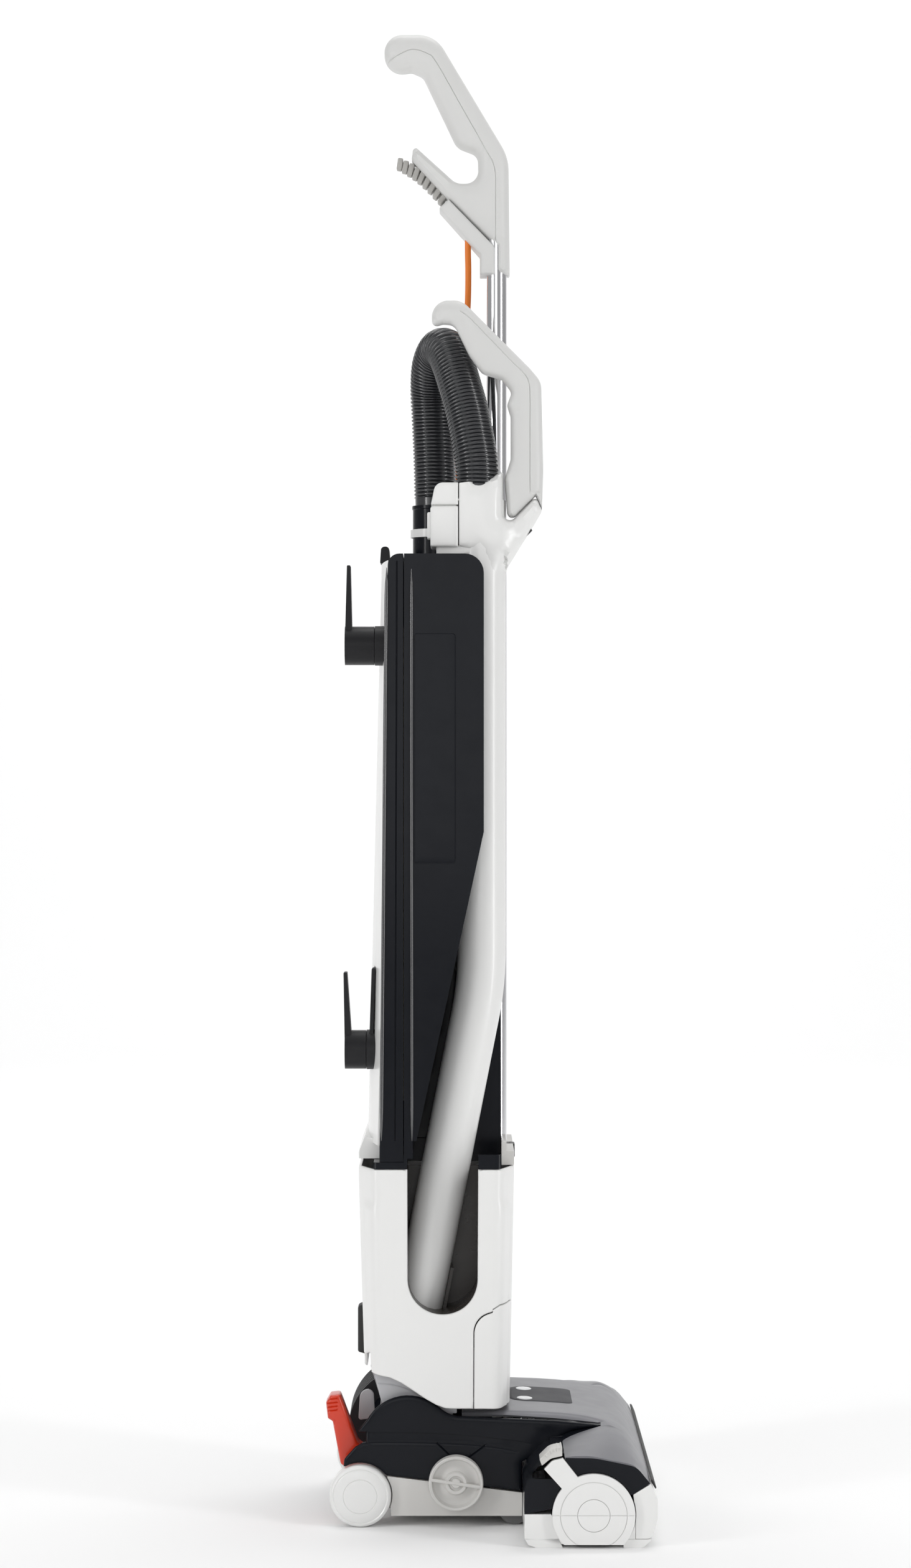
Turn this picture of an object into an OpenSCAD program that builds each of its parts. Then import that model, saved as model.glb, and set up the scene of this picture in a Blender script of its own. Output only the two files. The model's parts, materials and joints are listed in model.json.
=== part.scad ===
// Upright vacuum cleaner with a reclining body, a pull-out suction wand and a powered brush head.
// Millimetres. +X is forwards, +Y is the machine's left, +Z is up. The origin is on the floor,
// under the middle of the head.

/* [Head] */
// Half the width of the brush housing
head_half_w = 176; // [160:1:190]
// Half the width of the narrow rear part of the head
rear_half_w = 96; // [94:0.5:96]
// Radius of the rear wheels
wheel_r = 24; // [22:0.5:25]
// Radius of the brush over its bristles
brush_r = 24.4; // [22:0.2:24.6]

/* [Body] */
// Half the width of the motor housing and of the bag housing
body_half_w = 100; // [99:0.5:104]
// Wall thickness of the plastic shells
wall = 2.6; // [2:0.1:3]
// Height of the top of the bag housing
bag_top = 756; // [740:1:770]

/* [Handle and wand] */
// Height of the top of the handle tube, inside the handle
tube_top = 1040; // [1020:1:1045]
// Half the width of the upper handle
handle_half_w = 17; // [14:0.5:19]
// Outside radius of the suction wand
wand_r = 19; // [17:0.5:19.5]
// Outside radius of the hose
hose_r = 17.2; // [15:0.1:17.4]

/* [Hidden] */
$fn = 64;
eps = 0.01;
gap = 0.3;                 // between pieces of different bodies
joint_gap = 0.15;          // between pieces of one body
run = 0.05;                // radial clearance of a pin in its bore

// Colours
white = [0.90, 0.90, 0.89];
shell_grey = [0.84, 0.84, 0.83];
light_grey = [0.74, 0.73, 0.71];
black = [0.07, 0.07, 0.08];
plate_grey = [0.55, 0.55, 0.57];
steel = [0.75, 0.75, 0.77];
rubber = [0.15, 0.15, 0.16];

// Axes, as [x, z]
neck = [-62, 65];          // the body reclines about this
brush = [79.4, 24.9];      // brush roller
rear_axle = [-99, wheel_r];
knob = [-24.6, 34.8];      // height knob
carrier = [-2, 19];        // front wheel carrier
front_wheel_r = 12.5;
front_wheel = [21, front_wheel_r];
front_wheel_up = [21.8, 16.2];
pedal_pin = [-92, 44];
pinion = [40, 46];         // brush motor shaft
hook_y = -58;
upper_hook_z = 685.8;
lower_hook_z = 368;

// Wand: a straight upper pipe, one bend and a leaning lower pipe
wand_x = -4.5;
wand_y = -60;
wand_bend_z = 421;
wand_lean = 11.1;
wand_bend_r = 250;
wand_top = 813;
wand_foot = 277;           // length of the leaning pipe below the bend's corner
wand_channel_y = -38;      // inner side of the channel that the wand stands in
grip_half_w = 11.5;

// Hose: its foot in the cuff, and its centreline from there over into the wand's collar
cuff = [-41, 12];
cuff_r = 19;
cuff_top = 801;
hose_route = [
    [-41, 12, 801.3], [-41.4, 12, 824], [-42.2, 12, 848], [-43.3, 11, 872], [-44.2, 7.5, 893],
    [-43, -2.5, 912], [-38, -14, 923], [-32, -25.5, 922], [-26.8, -34.7, 910], [-21.4, -42.7, 892],
    [-16, -49.7, 872], [-11.6, -55.6, 850], [-8.2, -59.4, 828], [-7.5, -60, 802]
];

// Link cord, from the handle's clamp to the gland on the bag housing
cord_r = 2.5;
cord_route = [
    [-15, 0, 1016], [-15, 0, 1004], [-14.7, 2.5, 990], [-14.9, 9, 969], [-16, 17, 948],
    [-17, 24, 928], [-18.5, 30, 906], [-20.5, 35, 882], [-22.5, 39, 856], [-24.2, 42, 830],
    [-25.4, 43.6, 806], [-26, 44, 784], [-26, 44, 766]
];

// ---------------------------------------------------------------- helpers

function unit(v) = v / norm(v);

// The points of one corner [x, y, radius] between its neighbours
function corner(a, p, b, n = 7) =
    let (at = [p[0], p[1]], u = unit([a[0], a[1]] - at), v = unit([b[0], b[1]] - at))
    p[2] == 0 || norm(u + v) < 0.001 ? [at] :
    let (half = acos(max(-1, min(1, u * v))) / 2,
         centre = at + unit(u + v) * p[2] / sin(half),
         first = at + u * p[2] / tan(half) - centre,
         last = at + v * p[2] / tan(half) - centre,
         start = atan2(first[1], first[0]),
         turn = (atan2(last[1], last[0]) - start + 540) % 360 - 180)
    [for (i = [0:n]) centre + p[2] * [cos(start + turn * i / n), sin(start + turn * i / n)]];

// An outline from corners [x, y, radius]
function outline(c) = [for (i = [0:len(c) - 1])
    each corner(c[(i + len(c) - 1) % len(c)], c[i], c[(i + 1) % len(c)])];

// Points on an arc about c, as corners with no radius
function arc(c, r, from, to, n = 12) = [for (i = [0:n])
    [c[0] + r * cos(from + (to - from) * i / n), c[1] + r * sin(from + (to - from) * i / n), 0]];

// A plate between two Y planes, its outline in X and Z
module slab(y0, y1, corners) translate([0, y1, 0]) rotate([90, 0, 0])
    linear_extrude(y1 - y0) polygon(outline(corners));

// The same, drawn in by t all round
module slab_in(y0, y1, corners, t) translate([0, y1, 0]) rotate([90, 0, 0])
    linear_extrude(y1 - y0) offset(delta = -t) polygon(outline(corners));

// A prism between two heights, its outline in X and Y
module post(z0, z1, corners) translate([0, 0, z0]) linear_extrude(z1 - z0) polygon(outline(corners));

// A cylinder along Y about an axis [x, z]
module rod(axis, y0, y1, r) translate([axis[0], y1, axis[1]]) rotate([90, 0, 0])
    cylinder(r = r, h = y1 - y0);

// A cylinder along X about [y, z]
module rod_x(axis, x0, x1, r) translate([x0, axis[0], axis[1]]) rotate([0, 90, 0])
    cylinder(r = r, h = x1 - x0);

// A box between two corners
module block(low, high) translate(low) cube(high - low);

// Children on the right and, mirrored, on the left
module both_sides() {
    children();
    mirror([0, 1, 0]) children();
}

// ---------------------------------------------------------------- head

top_line = [[27, 25.4, 0], [27, 49, 22], [44, 68, 12], [80, 67.5, 60], [112, 61, 14], [122, 48.6, 0],
            [108.6, 40.2, 0]];

// Outline of a side cover: rear end, hump over the neck pin, and the long finger forwards
side_line = concat(
    [[-80, 38.9, 0], [-108, 42, 0], [-111, 48, 6], [-103, 61.5, 4], [-97, 64.9, 0], [-94.5, 64.9, 0],
     [-94.5, 72.9, 0], [-101.5, 72.9, 2]],
    arc(neck, 36.4, 152, 52),
    [[-28, 85.3, 22], [52, 82.2, 120], [88, 78.4, 0], [88, 77.4, 0], [62, 74, 30], [47, 60, 6],
     [26.7, 50, 0], [26.7, 26.3, 0]]);

module side_cover() {
    difference() {
        slab(-rear_half_w, -rear_half_w + 10, side_line);
        // Hollow inside, open towards the middle
        slab_in(-rear_half_w + wall, -rear_half_w + 11, side_line, wall);
        // Recessed band between the hump and the lower half
        slab(-rear_half_w - 1, -rear_half_w + 1.2,
             [[-96, 73, 0], [-45, 73, 60], [20, 67.5, 0], [20, 60, 0], [-45, 64.6, 60], [-96, 64.6, 0]]);
        // Bay over the height knob
        slab(-rear_half_w - 1, -rear_half_w + 1.2,
             [[-39.3, 65, 0], [-2.2, 63, 0], [-14.7, 54, 0], [-24.6, 48, 0], [-29.5, 56, 0]]);
        rod(knob, -rear_half_w - 1, -rear_half_w + 12, 6 + run);
        // Seat of the neck pin
        rod(neck, -rear_half_w + wall - eps, -rear_half_w + 12, 8 + run);
        // Arch over the rear wheel, and the shoulder of the brush housing
        rod(rear_axle, -rear_half_w - 1, -rear_half_w + 12, wheel_r + 1);
        slab_in(-rear_half_w - 1, -rear_half_w + 12, top_line, -joint_gap);
        wheel_wells();
    }
    // Boss that carries the neck pin
    difference() {
        rod(neck, -rear_half_w + wall - eps, -rear_half_w + 10, 12);
        rod(neck, -rear_half_w + wall - 1, -rear_half_w + 12, 8 + run);
    }
    // Boss round the knob's shaft
    difference() {
        rod(knob, -rear_half_w + wall - eps, -rear_half_w + 10, 9);
        rod(knob, -rear_half_w + wall - 1, -rear_half_w + 12, 6 + run);
    }
}
module side_cover_right() color(black) side_cover();
module side_cover_left() color(black) mirror([0, 1, 0]) side_cover();

chassis_side = [[-75, 8, 0], [26.7, 8, 0], [26.7, 26, 0], [-78, 38.7, 0], [-76, 24, 0]];

// Room for the front wheels over their travel
module wheel_wells() both_sides() {
    rod(front_wheel, -93.6, -70.8, front_wheel_r + 1.5);
    rod(front_wheel_up, -93.6, -70.8, front_wheel_r + 1.5);
}

module head_chassis() color(light_grey) {
    // Open tray: floor, side walls and a front wall
    difference() {
        slab(-rear_half_w + 0.5, rear_half_w - 0.5, chassis_side);
        slab(-rear_half_w + 0.5 + wall, rear_half_w - 0.5 - wall,
             [[-80, 8 + wall, 0], [26.7 - wall, 8 + wall, 0], [26.7 - wall, 45, 0], [-80, 45, 0]]);
        both_sides() {
            // Slots for the wheel carrier and holes for the knob and the carrier's pins
            block([-10, -92.9, 7], [27, -70, 8 + wall + eps]);
            block([24, -92.9, 7], [27, -70, 27]);
            rod(rear_axle, -97, -83, wheel_r + 1);
            rod(knob, -rear_half_w, -rear_half_w + 6, 9 + joint_gap);
            rod(carrier, -rear_half_w + 1, -rear_half_w + 6, 4 + run);
        }
    }
    both_sides() {
        // Ears that carry the rear axle pins
        difference() {
            slab(-79, -73, [[-70, 8 + wall - eps, 0], [-74, 8 + wall - eps, 0], [-107, 15, 8], [-107, 33, 8],
                            [-74, 36, 0], [-70, 36, 0]]);
            rod(rear_axle, -80, -72, 4);
        }
        // Web between the side wall and the ear
        block([-74, -rear_half_w + 0.5 + wall - eps, 8 + wall - eps], [-70, -73, 35]);
        // Posts that carry the neck pin, between the side cover and the yoke
        difference() {
            slab(-58, -53, concat([[-70, 8 + wall - eps, 0], [-48, 8 + wall - eps, 0]],
                                  arc(neck, 14, -20, 200)));
            rod(neck, -59, -52, 8 + run);
        }
    }
    // Ear that carries the pedal's pin
    difference() {
        slab(-59.6, -54, [[-70, 8 + wall - eps, 0], [-60, 8 + wall - eps, 0], [-60, 52, 0], [-88, 53, 4],
                          [-101, 45, 6], [-94, 34, 4], [-76, 24, 0], [-76, 8 + wall - eps, 0]]);
        rod(pedal_pin, -61, -53, 4);
    }
    // Screw posts under the top cover
    for (x = [9, 18], y = [-60, 60])
        translate([x, y, 8 + wall - eps]) cylinder(r = 4, h = 60);
}

module neck_pins() color(steel) both_sides() rod(neck, -rear_half_w + wall + joint_gap, -34, 8);

module rear_wheel() difference() {
    union() {
        rod(rear_axle, -102, -84, wheel_r - 1.5);
        rod(rear_axle, -100.5, -85.5, wheel_r);
    }
    // Dished outer face with a raised hub disc, and a hollow back
    difference() {
        rod(rear_axle, -103, -101.2, wheel_r - 3.5);
        rod(rear_axle, -103, -101, 13.2);
    }
    difference() {
        rod(rear_axle, -95, -80, wheel_r - 4);
        rod(rear_axle, -96, -80, 8);
    }
    rod(rear_axle, -98, -80, 4 + run);
}
module rear_wheel_right() color(white) rear_wheel();
module rear_wheel_left() color(white) mirror([0, 1, 0]) rear_wheel();

module rear_axle_pins() color(steel) both_sides() {
    rod(rear_axle, -97.8, -70, 4);
    difference() {
        rod(rear_axle, -72.8, -70, 6.5);
        rod(rear_axle, -73, -69, 3.9);
    }
}

module top_cover() color(plate_grey) difference() {
    union() {
        // Central plate
        difference() {
            slab(-85.8, 85.8, [[-20, 86.6, 1], [16, 88, 60], [60, 85.6, 60], [96, 79, 20], [112, 66, 20],
                               [122.5, 50, 0], [116, 46, 0], [90, 70, 0], [-20, 70, 0]]);
            slab(-83.4, 83.4, [[-21, 84, 0], [16, 85.4, 60], [60, 83, 60], [95, 76.4, 18], [110, 64, 18],
                           [121, 49, 0], [114, 40, 0], [60, 40, 0], [-21, 40, 0]]);
        }
        // Wings
        both_sides() difference() {
            slab(-head_half_w, -85.8 + eps, [[46, 62, 0], [56, 70.8, 8], [80, 70.6, 40], [113.6, 63.8, 9],
                                             [122.5, 50, 0], [116, 44, 0], [46, 44, 0]]);
            slab(-head_half_w - 1, -84, [[45, 60, 0], [56, 68.4, 8], [80, 68.2, 40], [112.6, 61.6, 9],
                                       [123, 47.5, 0], [116, 40, 0], [45, 40, 0]]);
        }
    }
    // Window of the indicator panel
    post(70, 94, panel_plan(joint_gap));
    // Cut-out over the release button, the side covers' fingers and the brush housing
    block([30, -head_half_w - 1, 50], [57.5, -head_half_w + 20.5, 90]);
    both_sides() block([30, -rear_half_w - joint_gap, 50], [60.6, -85.8 - eps, 90]);
    slab_in(-head_half_w - 1, head_half_w + 1, top_line, -joint_gap);
}

// Outline of the indicator panel, grown by a gap
function panel_plan(grow = 0) = [[17 - grow, -35 - grow, 14], [68 + grow, -35 - grow, 6],
                                 [68 + grow, 35 + grow, 6], [17 - grow, 35 + grow, 14]];
lamps = [[30, -22.7], [30, 22.7]];
lamp_r = 6.5;

module indicator_panel() color([0.25, 0.25, 0.28]) difference() {
    intersection() {
        post(70, 94, panel_plan());
        slab(-40, 40, [[10, 84.6, 0], [10, 87.6, 0], [60, 85.3, 60], [75, 82.4, 0], [75, 79.4, 0],
                       [60, 82.4, 0]]);
    }
    for (lamp = lamps) translate([lamp[0], lamp[1], 70]) cylinder(r = lamp_r + joint_gap, h = 24);
}

module indicator_lamps() color([0.85, 0.86, 0.85])
    for (lamp = lamps) translate([lamp[0], lamp[1], 83.6]) cylinder(r = lamp_r, h = 3.3);

module brush_housing() color(black) {
    difference() {
        slab(-head_half_w, head_half_w, top_line);
        rod(brush, -head_half_w - 1, head_half_w + 1, 32);
        difference() {
            slab_in(-head_half_w + wall, head_half_w - wall, top_line, wall);
            rod(brush, -head_half_w, head_half_w, 32 + wall);
        }
        // Seat of the release button
        block([30, -head_half_w - 1, 52], [58, -head_half_w + 20, 80]);
        // Opening behind, for the motor, and the way through for its shaft and the belt
        block([26, -30, 27.6], [58, 74, 63]);
        translate([0, 163, 0]) rotate([90, 0, 0]) linear_extrude(17) belt_loop(3);
        wheel_wells();
    }
}

lower_line = [[27.2, 25.2, 0], [27.2, 6.5, 0], [56, 6.5, 0], [53, 14, 0], [47.3, 25.2, 0]];
module lower_housing() color(white) {
    difference() {
        slab(-head_half_w, head_half_w, lower_line);
        wheel_wells();
    }
    // End walls under the end plates
    both_sides() difference() {
        slab(-head_half_w, -head_half_w + 8, [[47, 25.2, 0], [47, 6.5, 0], [111, 6.5, 0], [111, 25.2, 0]]);
        rod(brush, -head_half_w - 1, -head_half_w + 9, 32);
    }
}

module sole_plate() color(white) difference() {
    union() {
        slab(-head_half_w, head_half_w, [[27.6, 6.3, 0], [30, 2, 3], [36, 0, 3], [56, 0, 0], [53, 6.3, 0]]);
        slab(-head_half_w, head_half_w, [[102, 6.3, 0], [102, 0, 0], [117, 0, 4], [123.5, 6.3, 0]]);
        both_sides() slab(-head_half_w, -head_half_w + 8, [[53, 6.3, 0], [55, 2.7, 0], [103, 2.7, 0], [103, 6.3, 0]]);
        // Bars across the brush opening
        for (y = [-110, -55, 0, 55, 110]) block([52, y - 1.5, 4.6], [104, y + 1.5, 6.3]);
    }
    rod(brush, head_half_w - 9, head_half_w + 1, 19);
    rod(brush, -head_half_w - 1, head_half_w - 4, brush_r + 1);
    wheel_wells();
}

module front_bumper() color(white) difference() {
    slab(-head_half_w, head_half_w, [[111.2, 6.5, 0], [123.6, 6.5, 6], [128, 22, 30], [128, 37, 12],
                                     [122.6, 48.2, 0], [109.2, 40, 0], [111.2, 25.5, 0]]);
    slab_in(-head_half_w + wall, head_half_w - wall,
            [[108, 9, 0], [122.6, 9, 3], [125.4, 22, 10], [125.4, 37, 6], [121, 44, 0], [108, 36, 0]], 0.01);
    rod(brush, -head_half_w - 1, head_half_w + 1, 32);
}

module bumper_strip() color(rubber)
    slab(-head_half_w + 6, head_half_w - 6, [[122.9, 50.2, 0], [123.3, 48.2, 0], [126.4, 43.2, 0], [127.3, 44, 0],
                                         [124.6, 50, 1]]);

module end_disc(y0, y1) difference() {
    rod(brush, y0, y1, 31.4);
    block([brush[0] - 40, y0 - 1, -20], [brush[0] + 40, y1 + 1, 2.9]);
}

// A disc over the end of the brush tunnel, with a hub that holds the roller; seat_r is its bore
module end_plate(seat_r) {
    difference() {
        union() {
            end_disc(-180, -head_half_w - joint_gap);
            rod(brush, -head_half_w - 1, -168, 13);
        }
        // Ring groove, seam and the groove round the hub cap
        difference() {
            rod(brush, -181, -179.4, 25.5);
            rod(brush, -182, -179, 24.9);
        }
        block([40, -181, 24.8], [120, -179.4, 25.3]);
        difference() {
            rod(brush, -181, -179, 12.5);
            rod(brush, -182, -178, 12);
        }
        rod(brush, -175, -167, seat_r);
    }
}
module end_plate_right() color(white) {
    end_plate(9 + joint_gap);
    slab(-180, -head_half_w - joint_gap, [[56.5, 44, 0], [67.5, 53.6, 0], [56, 68.2, 0], [48, 66.5, 8],
                                          [42, 60, 0]]);
}
module end_plate_left() color(white) mirror([0, 1, 0]) end_plate(4 + run);

module release_button() color(light_grey) difference() {
    slab(-180, -head_half_w + 18, [[38.4, 67.4, 1], [40.2, 62.2, 0], [46.8, 67.8, 8], [55.6, 69.8, 0],
                                   [55.4, 77, 2], [46, 75.5, 10]]);
    for (t = [0:4]) translate([41.6 + 3 * t, 0, 69.6 + 1.9 * t - 0.17 * t * t]) rotate([0, -28 + 5 * t, 0])
        block([-0.6, -181, 2.6], [0.6, -156, 8]);
}

// Six-sided end of the roller, which plugs into the drive pulley
module hex_end(y0, y1, r) translate([brush[0], y1, brush[1]]) rotate([90, 0, 0])
    cylinder(r = r, h = y1 - y0, $fn = 6);

module brush_roller() color(rubber) {
    rod(brush, -165, 144, 13);
    rod(brush, -174.8, -165 + eps, 4);
    hex_end(144 - eps, 157, 6.6);
}

// Two rows of tufts that wind once round the roller
module brush_bristles() color([0.12, 0.12, 0.13])
    for (row = [0, 1], i = [0:23])
        let (y = -158 + i * 12.6, turn = row * 180 + y * 1.1)
        translate([brush[0], y, brush[1]]) rotate([0, turn, 0])
            translate([0, 0, 13.2]) cylinder(r = 4, h = brush_r - 13.2);

module brush_bearing() color(steel) difference() {
    rod(brush, -174.9, -168, 9);
    rod(brush, -176, -167, 4 + run);
}

module drive_pulley() color(black) difference() {
    union() {
        rod(brush, 146, 162, 15);
        rod(brush, 146, 148, 17);
        rod(brush, 160, 162, 17);
        rod(brush, 162 - eps, 174.8, 4);
    }
    hex_end(145, 159, 7);
}

module belt_loop(grow) hull() {
    translate(brush) circle(r = 15.1 + grow);
    translate(pinion) circle(r = 6.1 + grow);
}
module drive_belt() color([0.1, 0.1, 0.1]) translate([0, 158, 0]) rotate([90, 0, 0]) linear_extrude(8)
    difference() {
        belt_loop(1.4);
        belt_loop(0.15);
    }

module brush_motor() color(steel) difference() {
    union() {
        rod(pinion, -20, 70, 14);
        rod(pinion, -26, -20 + eps, 7);
    }
    rod(pinion, -27, 71, 2.5 + run);
    rod(pinion, -16, 66, 12);
}

module motor_pinion() color(steel) {
    rod(pinion, -25, 161, 2.5);
    rod(pinion, -14, 64, 10);
    rod(pinion, 149, 161, 6);
}

module front_wheel_carrier() color(black) {
    both_sides() {
        difference() {
            slab(-92.4, -89, [[carrier[0] - 6, carrier[1] + 6, 5], [carrier[0] - 6, carrier[1] - 7, 5],
                              [front_wheel[0] - 7, front_wheel[1] - 5, 3],
                              [front_wheel[0] + 5, front_wheel[1] - 5, 3],
                              [front_wheel[0] + 5, front_wheel[1] + 5, 3],
                              [carrier[0] + 8, carrier[1] + 6, 4]]);
            rod(front_wheel, -93, -88, 2.5);
        }
        rod(carrier, -94.8, -92.4 + eps, 4);
        rod(front_wheel, -92.4, -72, 2.5);
    }
    // Cross tube
    rod(carrier, -89 - eps, 89 + eps, 4.5);
}

module front_wheels() color(rubber) both_sides() difference() {
    rod(front_wheel, -88.6, -74, front_wheel_r);
    rod(front_wheel, -90, -73, 2.5 + run);
}

module height_knob() color(white) {
    difference() {
        rod(knob, -106, -rear_half_w - gap, 21.2);
        // Two dished halves either side of the grip bar
        difference() {
            rod(knob, -107, -99.4, 18.8);
            translate([knob[0], 0, knob[1]]) rotate([0, 8.5, 0])
                block([-20, -108, -1.3], [20, -98, 1.3]);
            rod(knob, -103, -98, 8.6);
        }
        difference() {
            rod(knob, -107, -102, 7.2);
            rod(knob, -108, -100, 4.6);
            translate([knob[0], 0, knob[1]]) rotate([0, 8.5, 0])
                block([-20, -108, -1.3], [20, -98, 1.3]);
        }
    }
    rod(knob, -rear_half_w - gap - eps, -rear_half_w + 12, 6);
}

module foot_pedal() color([0.82, 0.13, 0.03]) difference() {
    slab(-83.6, -60, [[-126, 94, 2], [-122.4, 99.2, 1], [-115.2, 100, 2], [-101, 62, 6], [-86, 52, 5],
                      [-85, 37, 6], [-96, 36, 6], [-114.8, 46, 3], [-121, 79, 1], [-124.6, 81.5, 1]]);
    rod(pedal_pin, -90, -50, 4 + run);
    // Grip lines
    for (i = [0:2]) block([-128, -84.6, 86.6 + 3 * i], [-122.8 + i, -59, 87.4 + 3 * i]);
}

module pedal_pin() color(steel) rod(pedal_pin, -83.6, -54, 4);

module neck_catch() color([0.86, 0.85, 0.82])
    slab(-52.6, -42, [[-70, 11, 0], [-56, 11, 0], [-58, 30, 0], [-70, 30, 0]]);

// ---------------------------------------------------------------- body

function housing_plan(in = 0) = [
    [-101 + in, -70, 14], [-89 + in, -body_half_w + in, 8], [11 - in, -body_half_w + in, 8],
    [21 - in, -70, 14], [21 - in, 70, 14], [11 - in, body_half_w - in, 8],
    [-89 + in, body_half_w - in, 8], [-101 + in, 70, 14]];

housing_side = [[-104, 277.8, 0], [-104, 119, 0], [-64, 117, 45], [-36, 91.6, 26], [14, 91.6, 10],
                [24, 100, 0], [24, 277.8, 0]];
// Front lower part that comes off over the exhaust filter
exhaust_line = [[-10.5, 80, 0], [-10.5, 162, 16], [24, 174, 0], [40, 174, 0], [40, 80, 0]];
// The slot that shows the wand
slot_line = [[-62.4, 300, 0], [-62.4, 165, 27.2], [-7.4, 165, 27.2], [-7.4, 300, 0]];

module wand_axis_low() translate([wand_x, wand_y, wand_bend_z]) rotate([0, wand_lean, 0]) children();

module housing_shell(in = 0) difference() {
    intersection() {
        post(80, 277.8, housing_plan(in));
        slab(-120, 120, housing_side);
    }
    post(70, 290, housing_plan(wall + in));
}

module motor_housing() color(white) difference() {
    housing_shell();
    slab(-120, 120, exhaust_line);
    slab(-120, wand_channel_y, slot_line);
    // Clearance over the foot pedal
    rod(neck, -88, -56, 76);
    // Seat of the power switch
    block([-110, -9.3, 120], [-90, 9.3, 160]);
}

module exhaust_cover() color(white) intersection() {
    housing_shell();
    slab(-120, 120, [for (p = exhaust_line) [p[0] + (p[0] < 0 ? 0.5 : 0), p[1] - 0.5, p[2]]]);
}

module exhaust_filter() color([0.92, 0.92, 0.88]) for (i = [0:13])
    block([5, -66 + i * 10, 100], [15, -60 + i * 10, 160]);

module neck_yoke() color([0.66, 0.66, 0.68]) {
    both_sides() difference() {
        slab(-50, -37, concat([[-92, 117.4, 0], [-84, 91, 3]], arc(neck, 25, 165, 360),
                             [[-24, 84, 4], [-24, 91, 0], [-37, 92, 0], [-64, 116, 0]]));
        rod(neck, -51, -36, 8 + run);
    }
    // Bridge that carries the motor housing's floor
    difference() {
        slab(-92, 92, [[-86, 120, 0], [-64, 120, 0], [-36, 97, 0], [-20, 96, 0], [6, 96, 0], [6, 99, 0],
                       [-35, 100, 0], [-62, 123, 0], [-86, 123, 0]]);
        block([-100, -96, 90], [-40, -52, 130]);
        rod(neck, -34, 34, 48.4);
        // Clearance of the wand socket
        wand_axis_low() translate([0, 0, -wand_foot - 30]) cylinder(r = 22.2, h = 80);
    }
}

module neck_drum() color([0.2, 0.2, 0.21]) difference() {
    union() {
        rod(neck, -33.5, 33.5, 40);
        // Fins round the rear
        for (i = [0:7]) rod(neck, -33.5 + 9 * i, -30 + 9 * i + 0.5, 48);
    }
    rod(neck, -40, 40, 34);
    // Open below and towards the front
    slab(-40, 40, [neckpt(0, 0), neckpt(30, 60), neckpt(60, 60), neckpt(60, -60), neckpt(-40, -60),
                   neckpt(-22, -20)]);
}
function neckpt(dx, dz) = [neck[0] + dx, neck[1] + dz, 0];

motor_axis = [-38, 32];
module on_motor(z) translate([motor_axis[0], motor_axis[1], z]) children();

module suction_motor() color(steel) on_motor(0) {
    // Field can with two end plates
    difference() {
        translate([0, 0, 146]) cylinder(r = 38, h = 62);
        translate([0, 0, 149]) cylinder(r = 30, h = 56);
        translate([0, 0, 140]) cylinder(r = 4 + run, h = 80);
    }
    // Fan shroud with its inlet eye
    difference() {
        translate([0, 0, 208.2]) cylinder(r = 46, h = 34);
        translate([0, 0, 211]) cylinder(r = 44, h = 28);
        translate([0, 0, 200]) cylinder(r = 4 + run, h = 20);
        translate([0, 0, 230]) cylinder(r = 16, h = 20);
    }
}

module motor_rotor() color(steel) on_motor(0) {
    translate([0, 0, 143]) cylinder(r = 4, h = 82);
    translate([0, 0, 152]) cylinder(r = 26, h = 46);
    difference() {
        translate([0, 0, 214]) cylinder(r = 42, h = 20);
        translate([0, 0, 216]) cylinder(r = 43, h = 16);
    }
    // Fan vanes and the inlet hub
    translate([0, 0, 213.9]) cylinder(r = 10, h = 20.1);
    for (a = [0:40:320]) rotate([0, 0, a]) translate([9, -1, 215.9]) cube([32, 2, 16.2]);
}

module motor_seat() color(rubber) on_motor(0) {
    difference() {
        translate([0, 0, 242.6]) cylinder(r = 46, h = 10);
        translate([0, 0, 242]) cylinder(r = 17, h = 12);
    }
    difference() {
        translate([0, 0, 124]) cylinder(r = 42, h = 21.8);
        translate([0, 0, 123]) cylinder(r = 34, h = 24);
    }
}

module power_switch() color(black)
    slab(-9, 9, [[-98.4, 158.8, 0], [-100.6, 158.8, 1], [-102.8, 152, 2], [-102.2, 139.5, 30],
                 [-102.8, 127, 2], [-100.6, 121.2, 1], [-98.4, 121.2, 0], [-94, 136, 3], [-94, 144, 3]]);

module wand_path(r, foot) {
    // Upper straight pipe, bend, leaning pipe; the bend is a hair slimmer and runs into both pipes
    cut = wand_bend_r * tan(wand_lean / 2);
    lap = 0.3;
    translate([wand_x, wand_y, wand_bend_z + cut]) cylinder(r = r, h = wand_top - wand_bend_z - cut);
    translate([wand_x - wand_bend_r, wand_y, wand_bend_z + cut]) rotate([90, 0, 0])
        rotate([0, 0, -wand_lean - lap]) rotate_extrude(angle = wand_lean + 2 * lap)
            translate([wand_bend_r, 0]) circle(r = r - 0.04);
    wand_axis_low() translate([0, 0, -foot]) cylinder(r = r, h = foot - cut);
}

module wand_channel() color([0.12, 0.10, 0.09]) {
    difference() {
        slab(-97, wand_channel_y, [[-65, 275, 0], [-65, 162.4, 29.8], [-4.8, 162.4, 29.8], [-4.8, 275, 0]]);
        slab(-101, wand_channel_y - 2.5, slot_line);
        wand_axis_low() translate([0, 0, -wand_foot - 20]) cylinder(r = 19.6, h = 200);
    }
    // Socket that the foot of the wand stands in, with its near side open above the lip
    wand_axis_low() difference() {
        translate([0, 0, -wand_foot - 3]) cylinder(r = 22, h = 55);
        translate([0, 0, -wand_foot - 4]) cylinder(r = 19 + gap, h = 60);
        translate([-30, -30, -wand_foot + 1]) cube([60, 30, 60]);
    }
}

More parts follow.
